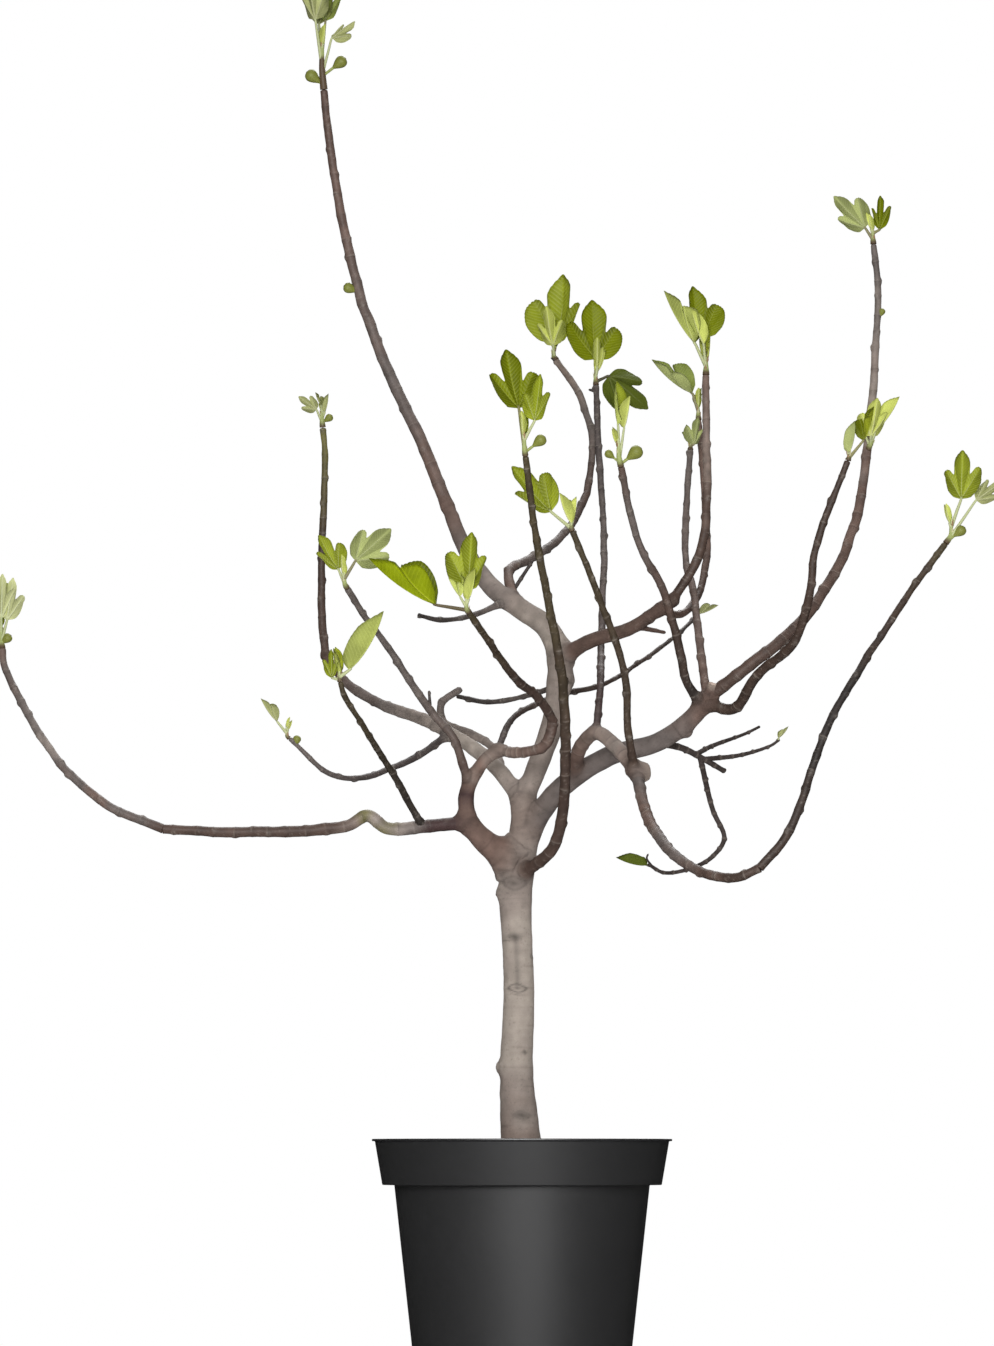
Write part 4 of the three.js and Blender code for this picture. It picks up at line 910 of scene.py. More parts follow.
def bladeShape(leaf, fine=1.0):
    # a grid of the angle off the midrib and the way out to the edge, once for the upper face and once
    # for the under face, closed along the edge; ribs run out along the lobes with side veins between
    s = leafShape
    columns, rows = int(s["columns"] * fine), max(6, int(s["rows"] * fine))
    angle = np.linspace(-s["edgeAngle"], s["edgeAngle"], columns)[:, None]
    t = np.linspace(0, 1, rows + 1)[None, 1:] ** 0.8  # closer together towards the edge
    tooth = np.sqrt(np.abs(np.sin(math.pi * angle / s["toothGap"])))
    ragged = s["teeth"] * (tooth - 1) + s["uneven"] * noise(together(angle, leaf["seed"], 0), 16)
    reach = leaf["long"] * outlineAt(angle, leaf) * (1 - s["teeth"] + ragged * ease(0.6, 1, t)) * t
    drawn = np.radians(angle * leaf["draw"])
    along, across = reach * np.cos(drawn), reach * np.sin(drawn)
    ribs = np.array([middle for middle, _, _ in lobes[:leaf["lobes"]]])
    nearest = ribs[np.abs(np.abs(angle) - ribs).argmin(-1)][:, None]
    off = np.abs(angle) - nearest
    spread = np.radians(off * leaf["draw"])
    fromRib = np.abs(reach * np.sin(spread))
    alongRib = reach * np.cos(spread)
    phase = (alongRib - s["veinSlant"] * fromRib) / (s["veinGap"] * leaf["long"])  # counts the side veins
    lobeCup = s["lobeCup"] * mix(1.6, 0.8, leaf["spread"]) * leaf["long"]
    cup = lobeCup * np.minimum(np.abs(off) / 18, 1.2) ** 1.3 * t ** 1.5 * ease(1.1, 0.6, np.abs(angle) / 110)
    ripple = noise(together(angle / 12, t, leaf["seed"] + 0.5), 1)
    rise = cup + s["wave"] * leaf["long"] * t ** 3 * ripple
    rib = s["ribDepth"] * hump(fromRib, s["ribWidth"]) * (1 - 0.75 * t) * min(1, leaf["long"] / 60)
    depth = s["thickness"] * min(1, leaf["long"] / 50)
    upper = bladePoint(leaf, along, across, rise - 0.4 * rib)
    under = bladePoint(leaf, along, across, rise - depth * (1.15 - t ** 3) - 0.9 * rib)
    foot = bladePoint(leaf, np.zeros(2), np.zeros(2), np.array([0, -depth * 1.2]))
    one = columns * rows  # points of one face
    last = one - rows
    stem = 2 * one  # the two points where the blade meets its stalk
    sheet = gridFaces(columns, rows, False)
    fan = together(stem, np.arange(0, last, rows), np.arange(rows, one, rows))
    edge = np.concatenate([np.arange(rows), np.arange(2 * rows - 1, one, rows),
                           np.arange(one - 2, last - 1, -1)])
    wall = np.stack([edge[:-1], edge[:-1] + one, edge[1:] + one, edge[1:]], -1)
    ends = np.array([[0, stem, stem + 1, one], [last, one + last, stem + 1, stem]])
    quads = np.concatenate([sheet[:, ::-1], sheet + one, wall, ends])
    triangles = np.concatenate([fan[:, ::-1], fan + [1, one, one]])
    finish = np.repeat([0, 1, 2, 0, 1], [len(sheet), len(sheet), len(wall) + 2, len(fan), len(fan)])
    finish += 3 * list(leafTones).index(leaf["tone"])
    veins = together(phase, fromRib, t).reshape(-1, 3)
    # painted shade: one half of each lobe darker, as if its fold turned it from the light; the blotches vary
    # the tone and the margin is a little darker
    half = ease(-6, 6, off * mix(-1, 1, leaf["seed"] % 2)) * ease(0, 3, fromRib)
    blotch = noise(together(along / 14, across / 14, leaf["seed"] + 0.3), 1)
    bright = s["bright"] - s["halfShade"] * half + s["blotches"] * blotch - 0.2 * t ** 6
    bright = np.append(np.tile(bright.ravel(), 2), [1, 1])[:, None] * np.ones(3)
    points = np.vstack([upper.reshape(-1, 3), under.reshape(-1, 3), foot])
    veins = np.vstack([veins, veins, np.zeros((2, 3))])
    return outward(shape(points, quads, triangles, finish=finish, place=veins, tint=bright))


def stalkShape(leaf):
    line = curveThrough([leaf["root"], leaf["elbow"], leaf["foot"],
                         bladePoint(leaf, *(np.array(v) for v in (leaf["long"] * 0.05, 0.0, -0.4)))])
    radius = mix(1.5, 2.3, min(1, leaf["long"] / 100))
    made = plainTube(line, (radius * 1.25, radius * 0.8), 10, 2.5)
    made["tint"] *= linear(stalkTones.get(leaf["tone"], "b9bf8e"))
    return made


fruit = dict(
    profile=[(0.22, -1.62), (0.3, -1.5), (0.46, -1.2), (0.68, -0.85), (0.88, -0.45), (0.98, -0.1),
             (0.99, 0.15), (0.92, 0.45), (0.74, 0.72), (0.46, 0.88), (0.2, 0.93), (0.16, 0.99), (0.08, 1.0)],
    sides=26,
    ribs=9,
    ribDepth=0.02,
    eyeRows=3,
)


def turnedShape(foot, way, profile, sides, ribs=0, ribDepth=0.0):
    # profile of radius and height turned about the line from foot along way, closed at both ends
    radius, height = np.array(profile, float).T
    first = unit(np.cross(way, [0.31, 0.52, 0.79]))
    path = dict(centre=foot + way * height[:, None], first=first[None], second=np.cross(way, first)[None])
    ribbed = 1 + ribDepth * np.cos(ribs * ringAngles(sides))
    return outward(shape(*tubeOn(path, radius[:, None] * ribbed, sides)))


def figShape(root, turn, radius, stalkLong, lean=52):
    # a teardrop on a short stalk, with faint ribs and a small eye at its end
    way = heading(turn, lean)
    middle = root + way * (stalkLong + radius)
    profile = np.array(fruit["profile"]) * radius
    body = turnedShape(middle, way, profile, fruit["sides"], fruit["ribs"], fruit["ribDepth"])
    start, end = ((len(profile) - row) * fruit["sides"] for row in (1 + fruit["eyeRows"], 1))
    body["finish"][start:end] = 1
    stalk = plainTube(curveThrough([root, middle - way * radius * 1.5]), (2.0, radius * 0.24), 10, 3, False)
    stalk["finish"][:] = 2
    return [body, stalk]


tips = dict(
    sides=14,
    bud=(9, 14),  # mm
    ringGap=2.2,  # between the scars of the bud's scales
    woody="5d4c38", green="a3ad6c", cream="c8cca0",
    scales=3, scaleLong=(6, 12), scaleTones=("9a7b58", "c9c39a"),
    newest=2, newestLong=0.4, newestSpread=0.26, newestTone="lime",  # length in that of the longest leaf
)


def growSprays():
    # a spray: a short green stem goes on from the limb's tip, leaves and figs grow on it by the seeded
    # rule, and its end is a bud in its sheath with the newest leaves, half open, beside it
    leaves, stems, figs = [], [], []
    for number, spray in enumerate(sprays.values()):
        limb, at = curves[spray["on"]], spray.get("at", 1)
        radius = radii[spray["on"]](at)
        sideways = at < 1
        tangent = wayAt(limb, at)
        way = heading(-60, 40) if sideways else unit(tangent + [0, 0, 1])
        foot = pointAt(limb, at) + (way * radius * 0.8 if sideways else 0)
        tip = foot + way * spray["stem"]
        middle = foot + (way if sideways else tangent) * spray["stem"] * 0.45
        axis = curveThrough([foot, middle, tip])
        stems.append(stemShape(axis, radius * (0.7 if sideways else 0.98), number, spray.get("woody", 4)))
        grown = spray["leaves"]
        for i, leaf in enumerate(grown):
            place = mix(0.35, 0.92, i / (len(grown) - 1) if len(grown) > 1 else 1)
            leaves.append(growLeaf(pointAt(axis, place), leaf, number * 17 + i * 5))
        for turn, place, size, stalkLong in spray.get("figs", []):
            figs += figShape(pointAt(axis, place), turn, size, stalkLong)
        leaves += newestLeaves(axis, grown, number)
        stems += sheaths(axis, radius, number)
    return leaves, stems, figs


def stemShape(axis, radius, number, woody):
    # this year's growth: ringed at its foot by the scars of the bud's scales, brown there for `woody` mm,
    # ending in a pointed bud
    bud = mix(*tips["bud"], chance(number + 70))
    start, middle, end = (pointAt(axis, t) for t in (0, 0.5, 1))
    line = curveThrough([start, middle, end, end + wayAt(axis, 1) * bud])
    path = carrier(line, 0.9)
    run, left = path["run"], line["long"] - path["run"]
    width = mix(radius, radius * 0.62, ease(0, axis["long"], run))
    width = width * (0.03 + 0.97 * np.sqrt(ease(-0.5, bud * 1.3, left)))
    width = width + 0.35 * hump(run % tips["ringGap"] - tips["ringGap"] / 2, 0.6) * ease(9, 2, run)
    fresh = mix(linear(tips["green"]), linear(tips["cream"]), ease(bud * 1.6, 0, left)[:, None])
    colour = mix(linear(tips["woody"]), fresh, ease(woody - 3, woody + 6, run)[:, None])
    tint = np.vstack([np.repeat(colour, tips["sides"], 0), colour[:1], colour[-1:]])
    return outward(shape(*tubeOn(path, width[:, None], tips["sides"]), tint=tint))


def sheaths(axis, radius, number):
    # small pointed scales that stood round the bud: halves of narrow cones, leaning out
    made = []
    for k in range(tips["scales"]):
        seed = number * 9 + k
        out = heading(360 * chance(seed) + 120 * k, 90)
        long = mix(*tips["scaleLong"], chance(seed + 40))
        root = pointAt(axis, mix(0.3, 0.95, k / 2)) + out * radius * 0.55
        way = unit(wayAt(axis, 0.9) + 0.45 * out)
        scale = turnedShape(root, way, [(0.3, 0), (1.5, long * 0.25), (1.3, long * 0.55), (0.1, long)], 8)
        scale["points"] -= np.outer((scale["points"] - root) @ out * 0.6, out)
        scale["tint"] *= linear(tips["scaleTones"][k % 2])
        made.append(scale)
    return made


def newestLeaves(axis, grown, number):
    # the newest leaves beside the bud, half open and without side lobes
    long = tips["newestLong"] * max(leaf[1][2] for leaf in grown)
    made = []
    for k in range(tips["newest"]):
        seed = 300 + number * 7 + k
        turn = 360 * chance(seed) + 180 * k
        stalk = (turn, 28, mix(3, 8, chance(seed + 1)))
        blade = (turn + 20, mix(6, 20, chance(seed + 2)), long)
        leaf = (stalk, blade, tips["newestSpread"], 0, tips["newestTone"])
        made.append(growLeaf(pointAt(axis, 0.9), leaf, seed))
    return made


def growDeadWood():
    # dead twigs, the odd small leaf at an end
    wood, leaves = [], []
    for name, dead in deadWood.items():
        wood.append(twigShape(curves[name], dead["thick"], 5))
        for k, twig in enumerate(dead["twigs"]):
            line = curveThrough([pointAt(curves[name], twig["at"])] + twig["by"])
            wood.append(twigShape(line, twig["thick"], 11 + k))
            if "leaf" in twig:
                leaves.append(growLeaf(pointAt(line, 0.97), twig["leaf"], twig["seed"]))
        if "leaf" in dead:
            leaves.append(growLeaf(pointAt(curves[name], 0.98), dead["leaf"], dead["seed"]))
    return wood, leaves


twigBark = dict(
    step=1.4, sides=12, nodeGap=(14, 26),
    knuckle=1.1, ring=0.35, rough=0.12,  # heights, mm
    tones=("4f4643", "332c29"), paleTone="756b63",
)


def twigShape(line, thick, seed):
    # a thin bare twig: a tube with a knuckle every so often, and a rounded end
    path = carrier(line, twigBark["step"])
    run = path["run"][:, None]
    angle = ringAngles(twigBark["sides"])[None]
    nodes = np.cumsum(mix(*twigBark["nodeGap"], chance(seed * 13 + np.arange(30))))
    radius = mix(thick[0], thick[1], path["t"])[:, None] + 0 * angle
    pale = np.zeros_like(radius)
    for k, node in enumerate(nodes[nodes < line["long"]]):
        pad = hump(run - node, 1.8) * hump(angleGap(angle, scarTurn * k + seed), 0.9)
        radius = radius + twigBark["knuckle"] * pad + twigBark["ring"] * hump(run - node, 2.2)
        pale = pale + 0.6 * hump(run - node, 1.5)
    radius = radius * roundedEnd(line["long"] - run, thick[1])
    radius = radius + twigBark["rough"] * noise(together(run, 3 * angle, seed), 3)
    points, quads, caps = tubeOn(path, radius, twigBark["sides"])
    tint = mix(*(linear(tone) for tone in twigBark["tones"]), (0.5 + 0.5 * noise(points, 9, seed))[:, None])
    tint = mix(tint, linear(twigBark["paleTone"]), np.append(pale, [0, 0])[:, None].clip(0, 0.5))
    return outward(shape(points, quads, caps, tint=tint))


# pot and compost

pot = dict(
    height=340, baseRadius=139, shoulderRadius=170, shoulderHeight=279, bandFoot=186, bandTop=196,
    lipRadius=200, lipHeight=3, wall=3, sides=160, round=1.2,
)


def roundCorners(profile, radius, steps=4):
    # each corner of the profile gives way to a short arc: points of a quadratic curve drawn between
    # two places the radius away from the corner
    p = np.array(profile, float)
    made = [p[0]]
    for before, corner, after in zip(p[:-2], p[1:-1], p[2:]):
        back, on = before - corner, after - corner
        reach = min(radius, np.linalg.norm(back) * 0.45, np.linalg.norm(on) * 0.45)
        a, b = corner + unit(back) * reach, corner + unit(on) * reach
        t = np.linspace(0, 1, steps)[:, None]
        made += list(a * (1 - t) ** 2 + corner * 2 * t * (1 - t) + b * t ** 2)
    return np.array(made + [p[-1]])


def potShape():
    # the pot's section turned about its axis: wall, band under the rim, rolled lip, and a ring to stand on
    p = pot
    lip = p["height"] - p["lipHeight"]
    section = roundCorners([
        (0.5, 3), (p["baseRadius"] - 14, 3), (p["baseRadius"] - 11, 0), (p["baseRadius"], 0),
        (p["shoulderRadius"], p["shoulderHeight"]), (p["bandFoot"], p["shoulderHeight"]),
        (p["bandTop"], lip), (p["lipRadius"], lip), (p["lipRadius"], p["height"]),
        (p["bandTop"] - p["wall"], p["height"]), (p["bandFoot"] - p["wall"], p["shoulderHeight"] + p["wall"]),
        (p["shoulderRadius"] - p["wall"], p["shoulderHeight"] + p["wall"]),
        (p["baseRadius"] - p["wall"], 6), (0.5, 6)], p["round"])
    return turnedShape(np.zeros(3), upright, section, p["sides"])


compost = dict(
    rings=64, sides=150, depth=20,
    rise=3.2, riseWidth=60,  # higher round the trunk, mm
    sunk=2.5, sunkWidth=14,  # lower along its edge
    rough=((2.2, 34), (1.6, 12), (1.2, 5)),  # height and size of its lumps
)

crumbs = dict(
    count=1500, size=(1.6, 5.5), stretch=(0.45, 1.5),
    tones=("2e2119", "4a3526", "5d4633", "241c17"), gritTone="b7ab98", grit=0.07,  # share of pale grit
)


def soilRise(radius, edge):
    c = compost
    return c["rise"] * hump(radius, c["riseWidth"]) - c["sunk"] * ease(edge - c["sunkWidth"], edge, radius)


def soilShape():
    # compost: a round grid, rough all over and a little higher round the trunk, sunk at its edge
    rings, sides = compost["rings"], compost["sides"]
    up = (soilLevel - pot["shoulderHeight"]) / (pot["height"] - pot["shoulderHeight"])
    edge = mix(pot["bandFoot"], pot["bandTop"], up) - pot["wall"] - 0.6
    radius = np.linspace(0.02, 1, rings)[:, None] * edge
    angle = ringAngles(sides)[None]
    flat = together(radius * np.cos(angle), radius * np.sin(angle), 0)
    top = flat.copy()
    top[..., 2] = soilLevel - 3 + soilRise(radius, edge)
    for seed, (high, size) in enumerate(compost["rough"]):
        top[..., 2] += high * noise(flat, size, seed)
    floor = soilLevel - compost["depth"]
    rim = flat[-1] + [0, 0, floor]
    points = np.vstack([top.reshape(-1, 3), rim, [[0, 0, top[0, :, 2].mean()], [0, 0, floor]]])
    k = np.arange(sides)
    beyond = (k + 1) % sides
    last, low, heart = (rings - 1) * sides, rings * sides, (rings + 1) * sides
    wall = together(last + k, last + beyond, low + beyond, low + k)
    quads = np.concatenate([gridFaces(rings, sides, True), wall])
    triangles = np.concatenate([together(heart, beyond, k), together(heart + 1, low + k, low + beyond)])
    return outward(shape(points, quads, triangles)), edge


def blobFaces():  # the twelve corners and twenty faces of a ball
    golden = (1 + 5 ** 0.5) / 2
    corners = np.array([np.roll((0, a, b * golden), k)
                        for k in (0, 2, 1) for a in (-1, 1) for b in (-1, 1)]) / 1.9
    apart = np.linalg.norm(corners[:, None] - corners[None], axis=-1)
    near = apart < apart[apart > 0.1].min() * 1.05
    faces = np.array([(i, j, k) for i in range(12) for j in range(i + 1, 12) for k in range(j + 1, 12)
                      if near[i, j] and near[j, k] and near[i, k]])
    a, b, c = corners[faces].transpose(1, 0, 2)
    outwards = (a * np.cross(b, c)).sum(-1) > 0
    return corners, np.where(outwards[:, None], faces, faces[:, ::-1])


def crumbShapes(edge):
    # crumbs of bark and peat: one blob, stretched, turned and tinted for each crumb
    corners, faces = blobFaces()
    n = np.arange(crumbs["count"])

    def luck(*draws):  # each crumb's own numbers, one for each draw
        return np.stack([chance(n + 3000 * draw) for draw in draws], -1)

    radius = edge * 0.97 * np.sqrt(mix(0.03, 1, chance(n)))  # evenly over the surface
    turn = 2 * math.pi * chance(n + 3000)
    size = mix(*crumbs["size"], luck(2) ** 2)
    stretch = mix(*crumbs["stretch"], luck(3, 4, 5)) * size
    blob = corners * stretch[:, None] * (1 + 0.25 * noise(corners * 3 + n[:, None, None], 1)[..., None])
    spin = unit(luck(6, 7, 8) - 0.5)[:, None]
    angle = 6.28 * luck(9)[..., None]
    blob = (blob * np.cos(angle) + np.cross(np.broadcast_to(spin, blob.shape), blob) * np.sin(angle)
            + spin * (spin * blob).sum(-1, keepdims=True) * (1 - np.cos(angle)))
    centre = together(radius * np.cos(turn), radius * np.sin(turn), soilLevel - 2.2 + soilRise(radius, edge))
    tones = np.stack([linear(tone) for tone in crumbs["tones"]])
    tint = tones[(luck(10)[:, 0] * len(tones)).astype(int)]
    tint[luck(11)[:, 0] < crumbs["grit"]] = linear(crumbs["gritTone"])
    clear = edge - radius - size[:, 0] * 1.5 > 0
    points = (blob + centre[:, None])[clear]
    triangles = faces + 12 * np.arange(len(points))[:, None, None]
    return shape(points, triangles=triangles, tint=np.repeat(tint[clear], 12, 0))


# materials

def feed(tree, node, takes):  # each input gets its value, or a link from the socket that feeds it
    for key, value in takes.items():
        if isinstance(value, bpy.types.NodeSocket):
            tree.links.new(value, node.inputs[key])
        else:
            node.inputs[key].default_value = value
    return node


def addNode(tree, kind, takes=None, **settings):
    node = tree.nodes.new("ShaderNode" + kind)
    for key, value in settings.items():
        setattr(node, key, value)
    return feed(tree, node, takes or {}).outputs


def maths(tree, operation, *values):
    return addNode(tree, "Math", dict(enumerate(values)), operation=operation)[0]


def remapped(tree, value, low, high, start, end, kind="SMOOTHSTEP"):
    takes = {"Value": value, "From Min": low, "From Max": high, "To Min": start, "To Max": end}
    return addNode(tree, "MapRange", takes, interpolation_type=kind)[0]


def blended(tree, share, a, b):
    return addNode(tree, "Mix", dict(Factor=share, A=a, B=b), data_type="RGBA")["Result"]


def rgba(colour):
    return (*colour, 1.0)


def newGroup(name, takes, gives):
    group = bpy.data.node_groups.new(name, "ShaderNodeTree")
    for label, kind, value in takes:
        socket = group.interface.new_socket(label, in_out="INPUT", socket_type="NodeSocket" + kind)
        if value is not None:
            socket.default_value = value
    for label, kind in gives:
        group.interface.new_socket(label, in_out="OUTPUT", socket_type="NodeSocket" + kind)
    return group, group.nodes.new("NodeGroupInput").outputs, group.nodes.new("NodeGroupOutput")


def mottleGroup():
    # uneven colour and height: coarse clouds and fine grain on the given coordinates
    group, given, result = newGroup(
        "mottle",
        [("Coordinates", "Vector", None), ("Colour", "Color", (0.5, 0.5, 0.5, 1)), ("Coarse", "Float", 60.0),
         ("Fine", "Float", 600.0), ("Contrast", "Float", 0.3)],
        [("Colour", "Color"), ("Height", "Float")])
    coarse, fine = [
        addNode(group, "TexNoise", dict(Vector=given["Coordinates"], Scale=given[scale], Detail=detail,
                                        Roughness=rough))["Fac"]
        for scale, detail, rough in (("Coarse", 4, 0.6), ("Fine", 3, 0.65))]
    centred = maths(group, "SUBTRACT", maths(group, "ADD", coarse, fine), 1)
    spread = maths(group, "MULTIPLY_ADD", centred, given["Contrast"], 1)
    shade = addNode(group, "VectorMath", {0: given["Colour"], "Scale": spread}, operation="SCALE")[0]
    feed(group, result, dict(Colour=shade, Height=fine))
    return group


def veinGroup():
    # leaf veins from the blade's own place: the rib within a width that narrows outwards, and side veins
    # wherever the count of veins passes a whole number
    group, given, result = newGroup(
        "leafVeins", [("Place", "Vector", None), ("Rib Width", "Float", 1.6)],
        [("Rib", "Float"), ("Vein", "Float"), ("Pleat", "Float"), ("Height", "Float")])
    place = addNode(group, "SeparateXYZ", {0: given["Place"]})
    width = maths(group, "MULTIPLY", remapped(group, place["Z"], 0, 1, 1, 0.2, "LINEAR"), given["Rib Width"])
    rib = remapped(group, maths(group, "DIVIDE", place["Y"], width), 0.6, 1.3, 1, 0)
    whole = maths(group, "PINGPONG", place["X"], 0.5)
    # the pleat between two side veins: the bump sinks it and the leaf material darkens it with painted shade
    pleat = maths(group, "POWER", whole, 0.6)
    vein = remapped(group, whole, 0.05, 0.2, 1, 0)
    feed(group, result, dict(Rib=rib, Vein=vein, Pleat=pleat, Height=maths(group, "SUBTRACT", rib, pleat)))
    return group


mottle = mottleGroup()
leafVeins = veinGroup()


# clouds and grain are how many there are to a metre, relief is in mm, and where there is no colour the
# material takes the one that its mesh carries
looks = {look["kind"]: look for look in table("kind colour roughness specular clouds grain contrast relief", [
    ("barkOld", None, 0.78, 0.3, 70, 700, 0.32, 0.35),
    ("barkYoung", None, 0.55, 0.4, 130, 1100, 0.3, 0.14),
    ("barkDead", None, 0.85, 0.2, 120, 900, 0.4, 0.25),
    ("greenStem", None, 0.5, 0.4, 150, 1200, 0.2, 0.08),
    ("figSkin", "80853a", 0.5, 0.4, 160, 1500, 0.35, 0.1),
    ("figEye", "5a4a2c", 0.6, 0.4, 200, 1500, 0.3, 0.1),
    ("figStalk", "9aa35a", 0.55, 0.4, 160, 1500, 0.2, 0.1),
    ("Upper", None, 0.5, 0.22, 90, 900, 0.22, -0.8),
    ("Under", None, 0.65, 0.12, 90, 900, 0.22, 0.5),
    ("Edge", None, 0.6, 0.4, 90, 900, 0.15, 0.05),
    ("compost", "2e221a", 0.95, 0.2, 160, 900, 0.7, 1.2),
    ("compostCrumbs", None, 0.92, 0.2, 200, 1200, 0.5, 0.4),
    ("potPlastic", "272728", 0.45, 1.0, 14, 1400, 0.12, 0.05)])}

potGloss = dict(ior=1.7, clouds=9, roughness=(0.4, 0.5))

# width of the midrib in mm, how much painted shade darkens the pleat hollows, and how strongly the veins and
# ribs are paler
leafSides = dict(Upper=dict(ribWidth=1.1, pleatShade=0.5, veins=0.55, ribs=0.45),
                 Under=dict(ribWidth=1.7, pleatShade=0.12, veins=0.35, ribs=0.75))


def startMaterial(name, look):
    material = bpy.data.materials.new(name)
    material.use_nodes = True
    tree = material.node_tree
    takes = {"Roughness": look["roughness"], "Specular IOR Level": look["specular"]}
    return material, tree, feed(tree, tree.nodes["Principled BSDF"], takes)


def mottled(tree, look, colour):  # the mottle group on a colour, with the look's own clouds and grain
    takes = dict(Coordinates=addNode(tree, "TexCoord")["Object"], Colour=colour, Coarse=look["clouds"],
                 Fine=look["grain"], Contrast=look["contrast"])
    return addNode(tree, "Group", takes, node_tree=mottle)


def addBump(tree, shader, height, look, strength=1.0):
    takes = dict(Height=height, Distance=look["relief"] * mm, Strength=strength)
    feed(tree, shader, dict(Normal=addNode(tree, "Bump", takes)[0]))


def plainMaterial(kind, prefix="", colour=None):
    # one colour, the kind's own or the one given, or else the mesh's, broken up by clouds and grain
    look = looks[kind]
    material, tree, shader = startMaterial(prefix + kind, look)
    if look["colour"]:
        colour = rgba(linear(look["colour"]))
    elif colour is None:
        colour = addNode(tree, "Attribute", attribute_name="tint")["Color"]
    base = mottled(tree, look, colour)
    feed(tree, shader, {"Base Color": base["Colour"]})
    addBump(tree, shader, base["Height"], look)
    return material, tree, shader


def plain(*kinds):
    return [plainMaterial(kind)[0] for kind in kinds]


def potMaterial():
    # moulded black plastic: satin, finely grained, a little duller in clouds
    material, tree, shader = plainMaterial("potPlastic")
    takes = dict(Vector=addNode(tree, "TexCoord")["Object"], Scale=potGloss["clouds"], Detail=5)
    gloss = remapped(tree, addNode(tree, "TexNoise", takes)["Fac"], 0, 1, *potGloss["roughness"], "LINEAR")
    feed(tree, shader, dict(Roughness=gloss, IOR=potGloss["ior"]))
    return material


def leafMaterial(tone, side, colour, ribColour):
    # a leaf's skin: its colour is uneven as the mesh says, with the painted shade on one half of each lobe,
    # darkened by painted shade in the pleat hollows between the veins, paler on the rib and the veins,
    # grooved above and raised beneath
    look, ribs = looks[side], leafSides[side]
    material, tree, shader = startMaterial(tone + side, look)
    place, tint = (addNode(tree, "Attribute", attribute_name=key) for key in ("place", "tint"))
    takes = {"Place": place["Vector"], "Rib Width": ribs["ribWidth"]}
    veins = addNode(tree, "Group", takes, node_tree=leafVeins)
    uneven = addNode(tree, "VectorMath", {0: tint["Color"], 1: colour}, operation="MULTIPLY")[0]
    tones = mottled(tree, look, uneven)["Colour"]
    # painted shade darkens the pleat hollows between the side veins; the veins and the rib are paler
    layers = [(maths(tree, "MULTIPLY", veins["Pleat"], ribs["pleatShade"]), 0.45 * colour),
              (maths(tree, "MULTIPLY", veins["Vein"], ribs["veins"]), mix(colour, ribColour, 0.3)),
              (veins["Rib"], mix(colour, ribColour, ribs["ribs"]))]
    for share, layer in layers:
        tones = blended(tree, share, tones, rgba(layer))
    feed(tree, shader, {"Base Color": tones})
    addBump(tree, shader, veins["Height"], look, 0.7)
    return material


# stage

studio = dict(
    key=dict(place=(-0.9, -5.3, 1.9), size=2.0, power=160),
    fill=dict(place=(1.1, -5.2, 0.9), size=2.0, power=80),
    top=dict(place=(0.3, 1.4, 4.4), size=2.6, power=80),
    back=dict(place=(0.4, 4.6, 4.0), size=3.0, power=130),
    aim=(0, 0, 0.9),
    surround=0.26,  # how bright the room is to the object
    mirrored=0.01,  # in what the object reflects
    backdrop=1.0,  # and to the camera
    floor=dict(colour="f2f2f2", roughness=0.8, specular=0.2),
    floorRadius=1.6,
    plainFloor=0.45,  # how far out the floor keeps its own shade before it starts to glow towards the backdrop's white
)


def floorMaterial():
    # a pale floor that glows, to the camera only and more and more towards its rim, until it is as white as
    # the backdrop, so that the disc shows no edge
    material, tree, shader = startMaterial("paleFloor", studio["floor"])
    feed(tree, shader, {"Base Color": rgba(linear(studio["floor"]["colour"]))})
    away = addNode(tree, "VectorMath", {0: addNode(tree, "TexCoord")["Object"]}, operation="LENGTH")["Value"]
    glowShare = remapped(tree, away, studio["plainFloor"], studio["floorRadius"] - 0.05, 0, 1)
    seen = maths(tree, "MULTIPLY", glowShare, addNode(tree, "LightPath")["Is Camera Ray"])
    glow = addNode(tree, "Emission", dict(Strength=studio["backdrop"]))[0]
    blend = addNode(tree, "MixShader", {0: seen, 1: shader.outputs[0], 2: glow})[0]
    feed(tree, tree.nodes["Material Output"], dict(Surface=blend))
    return material


def setStage():
    for name in ("key", "fill", "top", "back"):
        light = studio[name]
        data = bpy.data.lights.new(name, "AREA")
        data.energy = light["power"]
        data.size = light["size"]
        lamp = placed(name, data)
        lamp.location = light["place"]
        back = unit(np.array(light["place"]) - studio["aim"])
        lamp.rotation_euler = (math.acos(back[2]), 0, math.atan2(back[0], -back[1]))
    world = bpy.data.worlds.new("room")
    bpy.context.scene.world = world
    world.use_nodes = True
    tree = world.node_tree
    ray = addNode(tree, "LightPath")
    bright = studio["surround"]
    for seen, level in (("Is Glossy Ray", "mirrored"), ("Is Camera Ray", "backdrop")):
        bright = addNode(tree, "Mix", dict(Factor=ray[seen], A=bright, B=studio[level]))["Result"]
    feed(tree, tree.nodes["Background"], dict(Color=(1, 1, 1, 1), Strength=bright))
    rim = studio["floorRadius"] / mm
    disc = turnedShape(np.array([0, 0, -1.0]), upright, [(1, 0), (rim, 0), (rim, 0.9), (1, 0.9)], 96)
    floor = placed("floor", meshOf("floor", disc))
    floor.data.materials.append(floorMaterial())
    floor.visible_glossy = False


setCamera(cameraPlace)
setStage()
print("stage set")

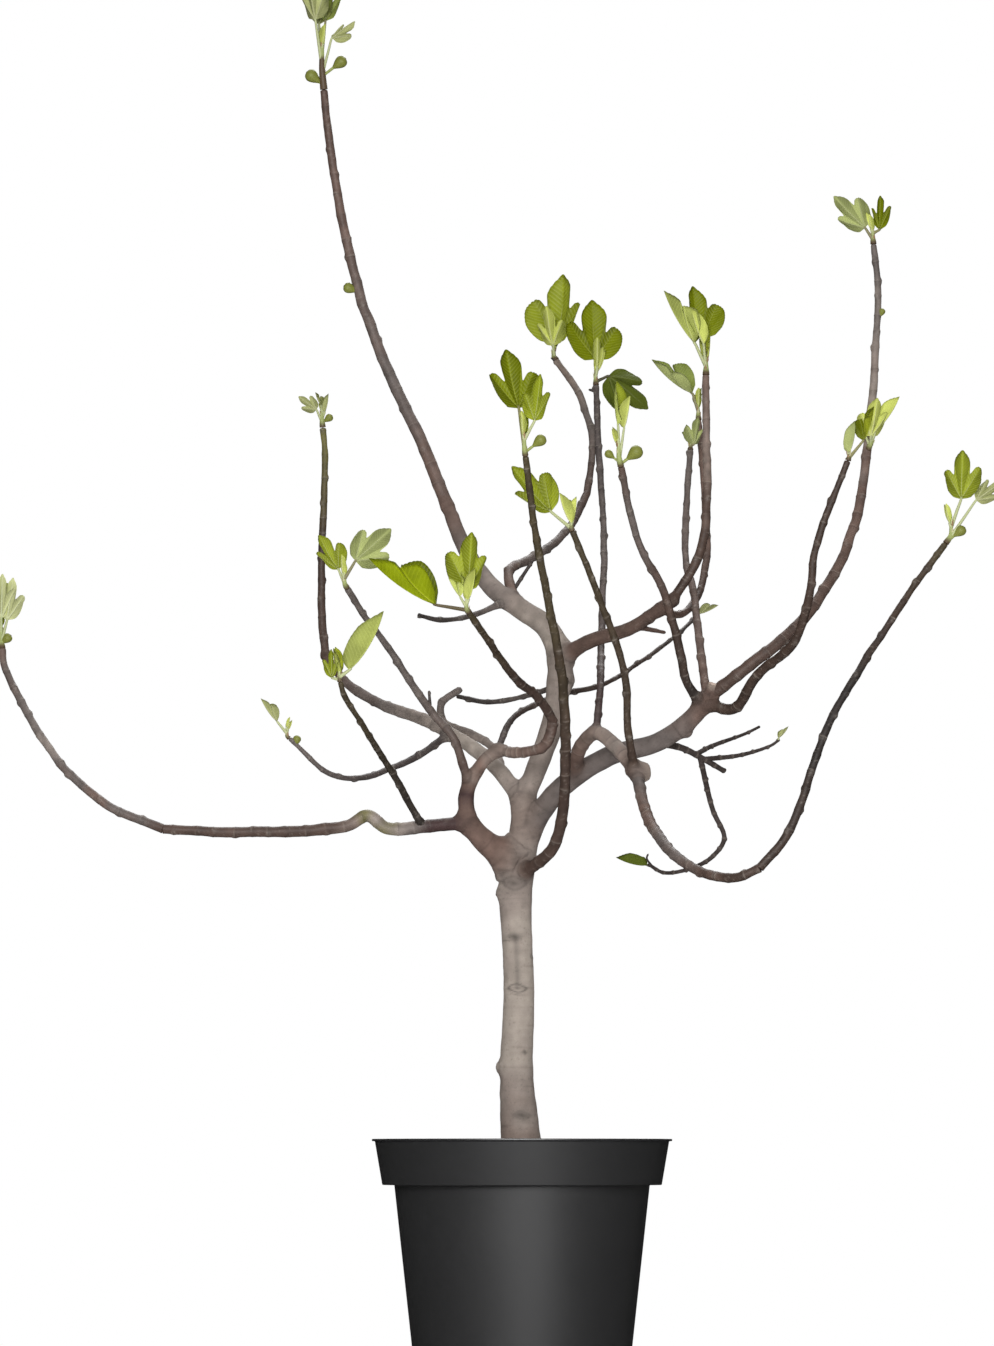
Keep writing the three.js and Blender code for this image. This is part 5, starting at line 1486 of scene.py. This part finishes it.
# wood
addPiece("old_wood", oldWoodShape(), plain("barkOld"), oldWood)
print("old wood done")

shoots = [shootShape(name) for name in shootNames]
for number, spur in enumerate(spurs):
    if spur["end"] == "twig" and spur["on"] not in oldWood:
        shoots.append(twigShape(spurCurve(spur), spur["thick"], number))
half = len(shoots) // 2
youngBark = plain("barkYoung")
addPiece("shoots_left", joined(shoots[:half]), youngBark, shootNames[:half])
addPiece("shoots_right", joined(shoots[half:]), youngBark, shootNames[half:])
print("shoots done")

deadShapes, deadLeaves = growDeadWood()
addPiece("dead_side_wood", joined(deadShapes), plain("barkDead"), list(deadWood))

# leaves, stems and figs
leaves, stems, figs = growSprays()
leaves += deadLeaves
for spur in spurs:
    if spur["end"] in ("fruit", "bud"):
        size = spur["thick"][1]
        stalkLong = radii[spur["on"]](spur["at"]) + spur["long"] - 2 * size
        figs += figShape(pointAt(curves[spur["on"]], spur["at"]), spur["turn"], size, stalkLong, spur["lean"])
leafSkins = []
for tone, colours in leafTones.items():
    upper, under, rib = (linear(colour) for colour in colours)
    leafSkins += [leafMaterial(tone, "Upper", upper, rib), leafMaterial(tone, "Under", under, rib),
                  plainMaterial("Edge", tone, rgba(mix(under, rib, 0.5)))[0]]
blades = [bladeShape(leaf, 1.0 if leaf["long"] > 40 else 0.6) for leaf in leaves]  # small ones more coarsely
masses = list(sprays)
third = math.ceil(len(blades) / 3)
for part in range(3):
    chosen = blades[part * third:(part + 1) * third]
    addPiece(f"leaves_{part + 1}", joined(chosen), leafSkins, masses)
stalks = [stalkShape(leaf) for leaf in leaves]
addPiece("stems_and_stalks", joined(stems + stalks), plain("greenStem"), masses)
addPiece("figs", joined(figs), plain("figSkin", "figEye", "figStalk"), masses)
print("leaves and figs done")

# pot and compost
addPiece("nursery_pot", potShape(), [potMaterial()], ["pot"])
soilTop, soilEdge = soilShape()
addPiece("compost_top", soilTop, plain("compost"), ["soil"])
addPiece("compost_crumbs", crumbShapes(soilEdge), plain("compostCrumbs"), ["soil"])
print("pot done")
